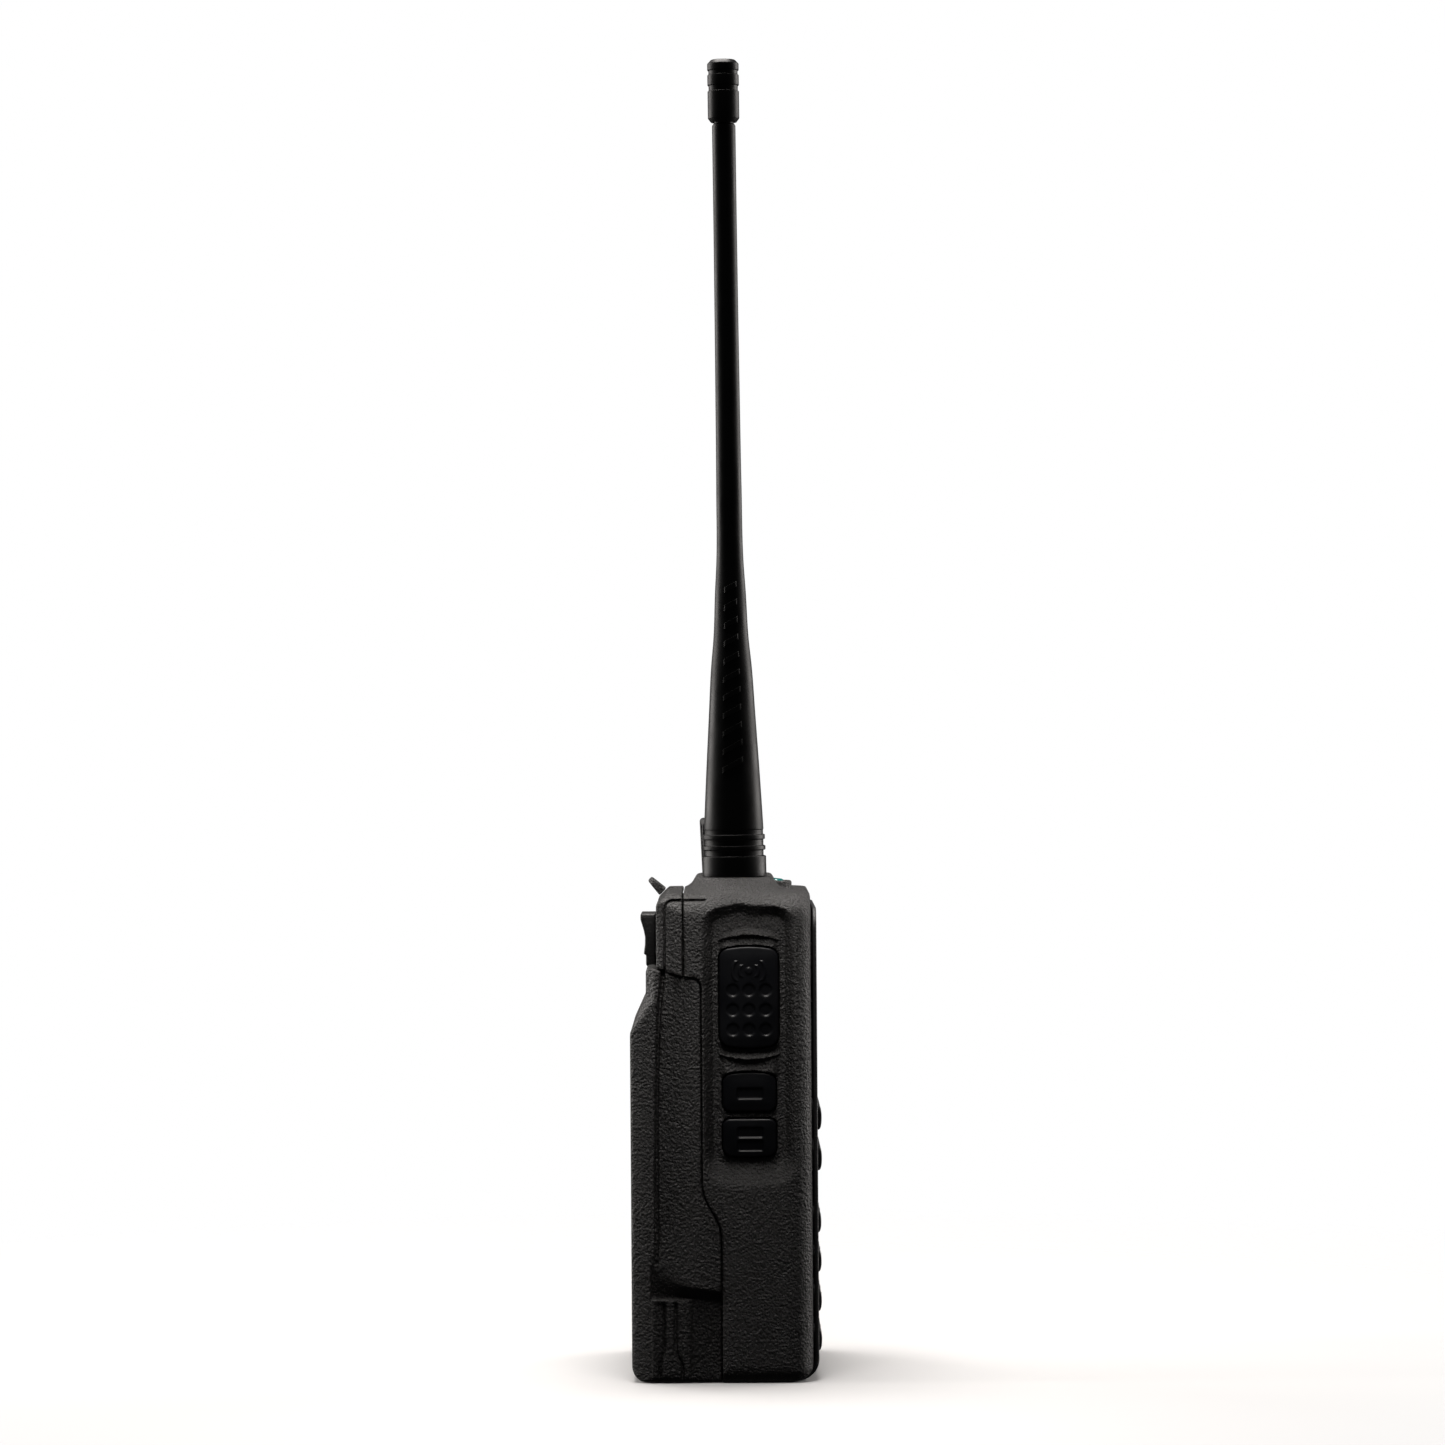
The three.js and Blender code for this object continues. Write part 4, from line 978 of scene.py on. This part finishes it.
# ---- Turned pieces ----
def lathe(name, profile, centre, segments=72, sharp=35):
    """A body turned about a vertical axis; the profile is a closed ring of (radius, z)."""
    bm = bmesh.new()
    rings = []
    for radius, z in profile:
        angles = np.arange(segments if radius > 1e-6 else 1) * math.tau / segments
        rings.append([bm.verts.new(((centre[0] + radius * math.cos(a)) * MM,
                                    (centre[1] + radius * math.sin(a)) * MM, z * MM)) for a in angles])
    for first, second in zip(rings, rings[1:] + rings[:1]):
        if len(first) == 1 and len(second) == 1:
            continue
        for j in range(segments):
            k = j + 1
            corners = (first[j % len(first)], first[k % len(first)],
                       second[k % len(second)], second[j % len(second)])
            unique = list(dict.fromkeys(corners))
            if len(unique) > 2:
                bm.faces.new(unique)
    mesh = mesh_of(name, bm)
    mesh.set_sharp_from_angle(angle=math.radians(sharp))
    return mesh


# ---- Antenna ----
AERIAL = Sizes(x=-14.0, y=-2.2, base=112.5, lean=0.42)
COLLAR = (
    (4.4, 112.3, 0),
    (7.15, 112.3, 0.15), (7.25, 113.1, 0.2), (7.2, 116.9, 0.3), (6.65, 117.0, 0.1), (6.65, 118.2, 0.1),
    (7.1, 118.25, 0.2), (7.1, 119.2, 0.2), (6.65, 119.3, 0.1), (6.65, 120.6, 0.1), (7.0, 120.65, 0.2),
    (7.0, 121.7, 0.2), (6.6, 121.8, 0.1), (6.6, 122.8, 0.1), (6.7, 122.95, 0.1),
    (6.7, 123.2, 0),
)
TAPER = (
    (6.7, 123.2), (6.25, 131.8), (5.25, 148.7), (4.55, 160.0), (4.0, 165.6), (3.45, 176.9), (3.1, 182.6),
    (2.87, 199.5), (2.75, 222.0), (2.65, 256.0), (2.65, 281.9),
)
TAPER_START, TAPER_STEP, SHEATH_SHARP = 125.0, 1.5, 40
SHEATH_END = ((2.65, 281.5), (2.55, 281.8), (2.3, 282.1), (1.15, 282.1), (1.15, 121.4), (4.4, 121.4))
# The cap, with two grooves; its neck meets the sheath.
TIP = (
    (0, 282.12, 0), (2.2, 282.12, 0), (2.2, 282.4, 0), (2.9, 282.4, 0.2), (3.55, 283.3, 0.3),
    (3.55, 289.4, 0.25), (3.3, 289.5, 0.05), (3.3, 290.6, 0.05), (3.55, 290.7, 0.2), (3.55, 293.1, 0.25),
    (3.3, 293.2, 0.05), (3.3, 294.0, 0.05), (3.55, 294.1, 0.2), (3.55, 295.6, 0.3), (2.7, 296.5, 0.5),
    (0, 296.5, 0),
)
BARS = Sizes(count=11, first=137.5, pitch=4.0, width=0.78, height=1.3, slant=0.55)
BAR_COLUMNS, BAR_ROWS = 8, 4
BAR_LAYERS = ((-0.3, 1.0), (0.16, 1.0), (0.3, 0.86))  # how far out, and how wide, from root to face


def taper_radius(z):
    """The sheath's radius above its collar, as a smooth curve through the taper's points."""
    radii, places = np.array(TAPER).T
    slopes = np.gradient(radii, places)
    i = int(np.clip(np.searchsorted(places, z) - 1, 0, len(places) - 2))
    span = places[i + 1] - places[i]
    t = (z - places[i]) / span
    return ((2 * t**3 - 3 * t**2 + 1) * radii[i] + (t**3 - 2 * t**2 + t) * span * slopes[i]
            + (3 * t**2 - 2 * t**3) * radii[i + 1] + (t**3 - t**2) * span * slopes[i + 1])


def lean_mesh(mesh):
    """Leans a mesh with the antenna, toward the battery."""
    angle = -math.radians(AERIAL.lean)
    c, s = math.cos(angle), math.sin(angle)
    y0, z0 = AERIAL.y * MM, AERIAL.base * MM
    for vert in mesh.vertices:
        x, y, z = vert.co
        y, z = y - y0, z - z0
        vert.co = (x, y0 + c * y - s * z, z0 + s * y + c * z)
    mesh.update()
    return mesh


def slanted_bar(bm, middle_z):
    """A raised bar on the sheath's -X side, with soft edges."""
    middle_radius = taper_radius(middle_z)
    layers = []
    for lift, shrink in BAR_LAYERS:
        grid = []
        for i in range(BAR_COLUMNS + 1):
            u = (i / BAR_COLUMNS - 0.5) * BARS.width * middle_radius * shrink
            angle = math.pi + u / middle_radius
            column = []
            for j in range(BAR_ROWS + 1):
                z = middle_z + (j / BAR_ROWS - 0.5) * BARS.height * shrink + u * BARS.slant
                radius = taper_radius(z) + lift
                column.append(bm.verts.new(((AERIAL.x + radius * math.cos(angle)) * MM,
                                            (AERIAL.y + radius * math.sin(angle)) * MM, z * MM)))
            grid.append(column)
        layers.append(grid)
    for grid in (layers[0], layers[-1]):
        for i in range(BAR_COLUMNS):
            for j in range(BAR_ROWS):
                bm.faces.new((grid[i][j], grid[i + 1][j], grid[i + 1][j + 1], grid[i][j + 1]))
    rims = []
    for grid in layers:
        rim = [grid[i][0] for i in range(BAR_COLUMNS)] + [grid[-1][j] for j in range(BAR_ROWS)]
        rim += [grid[i][-1] for i in range(BAR_COLUMNS, 0, -1)] + [grid[0][j] for j in range(BAR_ROWS, 0, -1)]
        rims.append(rim)
    for lower, upper in zip(rims, rims[1:]):
        for i in range(len(lower)):
            j = (i + 1) % len(lower)
            bm.faces.new((lower[i], lower[j], upper[j], upper[i]))


def antenna(materials):
    """The sheath with its collar and raised bars, and the cap."""
    centre = (AERIAL.x, AERIAL.y)
    taper = [(taper_radius(z), z) for z in np.arange(TAPER_START, TAPER[-1][1], TAPER_STEP)]
    mesh = lathe("sheath_body", [*outline(COLLAR), *taper, *SHEATH_END], centre, 96)
    bm = bmesh.new()
    bm.from_mesh(mesh)
    for i in range(BARS.count):
        slanted_bar(bm, BARS.first + BARS.pitch * i)
    bmesh.ops.recalc_face_normals(bm, faces=bm.faces)
    bm.to_mesh(mesh)
    bm.free()
    mesh.set_sharp_from_angle(angle=math.radians(SHEATH_SHARP))
    rubber = materials["antenna_rubber"]
    tip = lathe("antenna_cap", outline(TIP), centre)
    return (
        add_piece("sheath_body", lean_mesh(mesh), "antenna", ["antenna_sheath"], rubber),
        add_piece("antenna_cap", lean_mesh(tip), "antenna", ["antenna_tip"], rubber),
    )


# ---- Knob, lamp, eyelet, latch and jack cover ----
KNOB = Sizes(x=14.0, y=-1.0, base=112.6, top=125.0, radius=6.7, ribs=30)
KNOB_MARGIN, KNOB_STEP = 7.2, 0.16
KNOB_RIBS = Sizes(depth=0.3, low=114.2, high=123.6, fade=0.6)
KNOB_TAPER, KNOB_TAPER_HEIGHT = 0.5, 11
KNOB_DISH = Sizes(radius=5.2, slope=0.8, depth=0.35)
KNOB_EDGE = 0.9
POINTER = (13.5, 14.5, -6.9, -3.0, 0.45)
POINTER_FLOOR = 124.2
SHAFT_HOLE, SKIRT_HOLE = (3.2, 121.4), (5.4, 115)  # radius and top
LAMP_PROFILE = (
    (0, 106.8, 0), (1.9, 106.8, 0), (1.9, 109.3, 0), (2.7, 109.3, 0.1), (2.7, 110.2, 0.5),
    (1.8, 111.2, 1.0), (0, 111.4, 0),
)
EYELET = Sizes(x=16, y=14.1, z=107.7)
EYELET_LOOP, EYELET_HOLE = (-4, 4, -2, 4.6, 1.8), (-2.6, 2.6, 1.3, 3.4, 0.9)
EYELET_ROOT, EYELET_HALF, EYELET_THINNING = 0.3, 1.1, 0.11
LATCH_SIDE = (
    (15.75, 91.6, 0), (18.0, 91.6, 0.8), (18.0, 94.3, 0.2), (18.5, 94.6, 0.2), (18.0, 98.4, 8),
    (19.2, 102.4, 0.8), (19.2, 103.7, 0.4), (15.75, 103.7, 0),
)
LATCH_HALF, LATCH_EDGE = 7.6, 0.5
LATCH_STEM = ((-3.9, 12.4, 94.4), (3.9, 16, 99))
LATCH_HOOK = ((-6.2, 11.4, 93.8), (6.2, 12.7, 100))
LATCH_RIBS = Sizes(z=(96.4, 97.8, 99.2, 100.6), half=0.42, depth=0.22, x=6.4, y=16.6)
COILS = Sizes(x=(-4.5, 4.5), wire=0.15, turns=6, steps=20, sides=8, keep=0.4)
JACK_FACE, JACK_BACK = 29.9, 28.25
JACK_PLATE, JACK_RIM = (-6.6, 4.55, 76.4, 103.6, 0.9), (-5.6, 3.0, 77.6, 102.4, 0.9)
JACK_MIDDLE, JACK_ROLL_HALF = 90, 13.6
JACK_ROLL = Sizes(x=29.05, y=3.7, radius=0.85)  # the rounded hinge edge
CONTACT_PROFILE = (
    (0, 0.4, 0), (2.7, 0.4, 0.2), (2.7, 1.6, 0), (2.95, 1.6, 0), (2.95, 2.7, 0), (0, 2.7, 0),
)
TURNED_SEGMENTS = 48


def volume_knob(material):
    x, y = KNOB.x, KNOB.y
    low = (x - KNOB_MARGIN, y - KNOB_MARGIN, KNOB.base - 0.4)
    g = Grid(low, (x + KNOB_MARGIN, y + KNOB_MARGIN, KNOB.top + 0.4), KNOB_STEP)
    away = disc(g.x, g.y, (x, y), 0)
    rib = KNOB_RIBS.depth * smooth((np.cos(KNOB.ribs * np.arctan2(g.y - y, g.x - x)) + 0.25) / 0.7)
    rib = rib * smooth((g.z - KNOB_RIBS.low) / KNOB_RIBS.fade)
    rib = rib * smooth((KNOB_RIBS.high - g.z) / KNOB_RIBS.fade)
    radius = KNOB.radius - KNOB_TAPER * (KNOB.top - 1 - g.z) / KNOB_TAPER_HEIGHT - rib
    dish = KNOB.top - KNOB_DISH.depth * smooth((KNOB_DISH.radius - away) / KNOB_DISH.slope)
    solid = round_max(round_max(away - radius, g.z - dish, KNOB_EDGE), KNOB.base - g.z, 0.3)
    pointer = np.maximum(rounded_span(g.x, g.y, *POINTER), POINTER_FLOOR - g.z)
    bores = [np.maximum(away - bore, g.z - top) for bore, top in (SHAFT_HOLE, SKIRT_HOLE)]
    solid = cut(solid, OPENING_RIM, pointer, *bores)
    add_piece("knob_cap", g.mesh("knob_cap", solid), "volume_knob", ["volume_knob"], material)


def lamp(material):
    mesh = lathe("lamp_dome", outline(LAMP_PROFILE), LAMP, TURNED_SEGMENTS)
    add_piece("lamp_dome", mesh, "radio", ["lamp_lens"], material)


def eyelet(material):
    """A flat loop that leans back at 45 degrees."""
    g = Grid((11.5, 11.5, 106), (20.5, 19.5, 114), 0.13)
    dy, dz = g.y - EYELET.y, g.z - EYELET.z
    across, up = DIAGONAL * (dy - dz), DIAGONAL * (dy + dz)
    loop = rounded_span(g.x - EYELET.x, up, *EYELET_LOOP)
    hole = rounded_span(g.x - EYELET.x, up, *EYELET_HOLE)
    half = EYELET_HALF - EYELET_THINNING * np.clip(up, 0, EYELET_LOOP[3])
    solid = round_max(np.maximum(loop, EYELET_ROOT - up), np.abs(across) - half, 0.35)
    mesh = g.mesh("eyelet_loop", cut(solid, 0.3, hole))
    add_piece("eyelet_loop", mesh, "radio", ["strap_eyelet"], material)


def battery_latch(material):
    """A ribbed thumb pad, the stem behind it and the hook inside the cover."""
    g = Grid((-8, 11.2, 91.2), (8, 19.5, 104), 0.14)
    pad = round_max(polygon(g.y, g.z, LATCH_SIDE), np.abs(g.x) - LATCH_HALF, LATCH_EDGE)
    ribs = sum(smooth((LATCH_RIBS.half - np.abs(g.z - z)) / 0.25) for z in LATCH_RIBS.z)
    ribs = ribs * smooth((LATCH_RIBS.x - np.abs(g.x)) / 0.4) * smooth((g.y - LATCH_RIBS.y) / 0.5)
    pad = pad + LATCH_RIBS.depth * ribs
    solid = np.minimum(np.minimum(pad, block(g, *LATCH_STEM)), block(g, *LATCH_HOOK))
    mesh = g.mesh("latch_slider", solid)
    add_piece("latch_slider", mesh, "battery_latch", ["battery_latch"], material)


def coil_into(bm, x, y, low, high, radius, wire):
    """Adds a closed coil of wire, from low to high."""
    turns, steps, sides = COILS.turns, COILS.steps, COILS.sides
    reach = high - low - 2 * wire
    up = Vector((0, 0, 1))
    rings = []
    for i in range(turns * steps + 1):
        angle = i * math.tau / steps
        outward = Vector((math.cos(angle), math.sin(angle), 0))
        centre = Vector((x, y, low + wire + reach * i / (turns * steps))) + radius * outward
        rings.append([bm.verts.new(centre + wire * (math.cos(a) * outward + math.sin(a) * up))
                      for a in np.arange(sides) * math.tau / sides])
    for first, second in zip(rings, rings[1:]):
        for j in range(sides):
            k = (j + 1) % sides
            bm.faces.new((first[j], first[k], second[k], second[j]))
    bm.faces.new(rings[0])
    bm.faces.new(rings[-1])


def latch_spring(material):
    """Two coil springs, filling the latch spring's box."""
    low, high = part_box("latch_spring")
    y = (low.y + high.y) / 2
    wire = COILS.wire * MM
    radius = (high.y - low.y) / 2 - wire
    bm = bmesh.new()
    for x in COILS.x:
        coil_into(bm, x * MM, y, low.z, high.z, radius, wire)
    coils = add_piece("latch_coils", mesh_of("latch_coils", bm), "radio", ["latch_spring"], material)
    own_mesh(coils)


def jack_cover(material):
    """A thin cover with a rim line and a finger scoop, and a rounded edge at its hinge."""
    g = Grid((27.9, -7, 76), (30.1, 5, 104), 0.14)
    from_middle = np.abs(g.z - JACK_MIDDLE)
    scoop = 0.3 * smooth((-5.0 - g.y) / 1.2) * smooth(3 - from_middle)
    line = 0.25 * smooth(1 - np.abs(rounded_span(g.y, g.z, *JACK_RIM) + 0.2) / 0.3)
    plate = rounded_span(g.y, g.z, *JACK_PLATE)
    sheet = round_max(round_max(plate, g.x - JACK_FACE + scoop + line, 0.35), JACK_BACK - g.x, 0.15)
    roll = disc(g.x, g.y, (JACK_ROLL.x, JACK_ROLL.y), JACK_ROLL.radius)
    roll = common(roll, JACK_ROLL.y - g.y, from_middle - JACK_ROLL_HALF)
    mesh = g.mesh("jack_flap", np.minimum(np.maximum(sheet, g.y - JACK_ROLL.y), roll))
    add_piece("jack_flap", mesh, "jack_cover", ["jack_cover"], material)


def charge_contacts(material):
    """Two gilt pads in the battery's foot."""
    for name, x in (("contact_left", -CONTACT_X), ("contact_right", CONTACT_X)):
        mesh = lathe(name, outline(CONTACT_PROFILE), (x, CONTACT_Y), TURNED_SEGMENTS)
        add_piece(name, mesh, "battery", [], material)


# ---- Large moulded pieces ----
LARGE_PIECES = (
    # name, body, node, field, slot, and the box that holds it
    ("housing_shell", "radio", "front_housing", housing_field, "body_plastic",
     (-30, -19.2, 0), (30, 9.4, 112.2)),
    ("bezel_panel", "radio", "front_bezel", bezel_field, "bezel_plastic",
     (-26, -20.4, 0), (26, -15.4, 105.6)),
    ("cover_shell", "radio", "rear_cover", cover_field, "body_plastic",
     (-30, 9.5, 90.6), (30, 15.4, 109)),
    ("battery_shell", "battery", "battery_case", battery_field, "battery_plastic",
     (-30, 1.3, 0), (30, 21.4, 92.3)),
)
LARGE_STEP, LARGE_ADAPTIVITY = 0.25, 0.03


def large_pieces(materials):
    for name, body, node, field, slot, low, high in LARGE_PIECES:
        grid = Grid(low, high, LARGE_STEP)
        add_piece(name, grid.mesh(name, field(grid), LARGE_ADAPTIVITY), body, [node], materials[slot])


# ---- Camera, light and floor ----
CAMERA = Sizes(lens=119.9, place=(-1.1, 0.00025, 0.147), angles=(90, 0.4, -90))
LIGHT_COLOUR = (1.0, 0.96, 0.93)
LIGHTS = (
    # name, place, where it points, size, power in watts, whether it reaches the antenna
    ("back_left", (0.45, 0.85, 0.35), (0, 0, 0.06), (0.6, 1.0), 7.0, True),
    ("back_right", (0.45, -0.85, 0.35), (0, 0, 0.06), (0.6, 1.0), 6.5, True),
    ("top_back", (0.15, 0.05, 0.9), (0, 0, 0.06), (0.5, 0.5), 9.0, True),
    ("top_front", (-0.075, 0.0, 0.2), (-0.03, 0, 0.12), (0.04, 0.08), 0.14, False),
    ("side_left", (-0.04, 0.9, 0.5), (0, 0, 0.06), (0.08, 0.3), 2.0, False),
    ("side_right", (-0.04, -0.9, 0.5), (0, 0, 0.06), (0.08, 0.3), 0.6, False),
)
STUDIO_DIM = 0.02
FLOOR_RADIUS = 0.9
FLOOR_FADE = (0.05, 0.35)  # where the floor starts to fade, and where it has gone


def link_object(name, data, place=(0, 0, 0)):
    thing = bpy.data.objects.new(name, data)
    thing.location = place
    bpy.context.scene.collection.objects.link(thing)
    return thing


def add_camera():
    data = bpy.data.cameras.new("camera")
    data.sensor_width = 36
    data.lens = CAMERA.lens
    camera = link_object("camera", data, CAMERA.place)
    camera.rotation_euler = [math.radians(angle) for angle in CAMERA.angles]
    bpy.context.scene.camera = camera


def add_lights(shaded):
    """Adds the lights; the close ones that bring out the grain leave the shaded pieces alone."""
    apart = bpy.data.collections.new("away_from_the_grain_lights")
    for piece in shaded:
        apart.objects.link(piece)
    for link in apart.collection_objects:
        link.light_linking.link_state = "EXCLUDE"
    for name, place, target, size, power, everywhere in LIGHTS:
        data = bpy.data.lights.new(name, "AREA")
        data.shape = "RECTANGLE"
        data.size, data.size_y = size
        data.energy = power
        data.color = LIGHT_COLOUR
        light = link_object(name, data, place)
        light.visible_camera = False
        direction = Vector(target) - light.location
        light.rotation_euler = direction.to_track_quat("-Z", "Y").to_euler()
        if not everywhere:
            light.light_linking.receiver_collection = apart


def add_world():
    """White where the camera looks past the object; a dim even studio for everything else."""
    world = bpy.data.worlds.new("studio")
    bpy.context.scene.world = world
    world.use_nodes = True
    studio = Nodes(world.node_tree)
    seen = studio.nodes.new("ShaderNodeLightPath").outputs["Is Camera Ray"]
    studio.fill(studio.find("BACKGROUND"), {}, {"Color": studio.spread(seen, 0, 1, STUDIO_DIM, 1.0)})


def add_floor():
    """A pale floor that fades out round the object and lights nothing."""
    bm = bmesh.new()
    bmesh.ops.create_circle(bm, cap_ends=True, segments=96, radius=FLOOR_RADIUS)
    mesh = bpy.data.meshes.new("floor")
    bm.to_mesh(mesh)
    bm.free()
    look = Look("floor")
    mesh.materials.append(look.finish({"Base Color": (0.7, 0.7, 0.7, 1), "Roughness": 0.9}, {}))
    away = look.add("ShaderNodeVectorMath", {}, {0: look.place()}, operation="LENGTH").outputs["Value"]
    clear = look.nodes.new("ShaderNodeBsdfTransparent").outputs["BSDF"]
    feeds = {"Fac": look.spread(away, *FLOOR_FADE, 0, 1), 1: look.shader.outputs["BSDF"], 2: clear}
    mix = look.add("ShaderNodeMixShader", {}, feeds)
    look.fill(look.find("OUTPUT_MATERIAL"), {}, {"Surface": mix.outputs["Shader"]})
    floor = link_object("floor", mesh)
    floor.visible_diffuse = False
    floor.visible_glossy = False


# ---- The whole object ----
def dress_frame(frame, materials):
    """Gives each CAD node the material of its slot."""
    slots = {part["node"]: part["material_slot"] for part in frame["record"]["subparts"]}
    for name, node in frame["nodes"].items():
        material = materials[slots[name]]
        if node.material_slots:
            for slot in node.material_slots:
                slot.material = material
        else:
            node.data.materials.append(material)


def front_keys(kind, keys, legends, materials):
    for i, (centre, legend) in enumerate(zip(key_centres(keys), legends), 1):
        front_key(f"{kind}_key_{i:02d}", centre, keys, legend, materials)


def main():
    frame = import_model()
    bpy.context.scene.view_settings.view_transform = "Standard"
    materials = make_materials()
    add_camera()
    add_world()
    add_floor()
    dress_frame(frame, materials)
    large_pieces(materials)
    for name, key in {"talk_button": TALK, **SIDE_KEYS}.items():
        side_button(name, key, materials["button_rubber"])
    front_keys("number", NUMBER_KEYS, LEGENDS, materials)
    front_keys("function", FUNCTION_KEYS, FUNCTION_LEGENDS, materials)
    add_lights(antenna(materials))
    volume_knob(materials["knob_rubber"])
    lamp(materials["lamp_lens"])
    eyelet(materials["body_plastic"])
    battery_latch(materials["latch_plastic"])
    latch_spring(materials["steel"])
    jack_cover(materials["button_rubber"])
    charge_contacts(materials["brass"])


main()
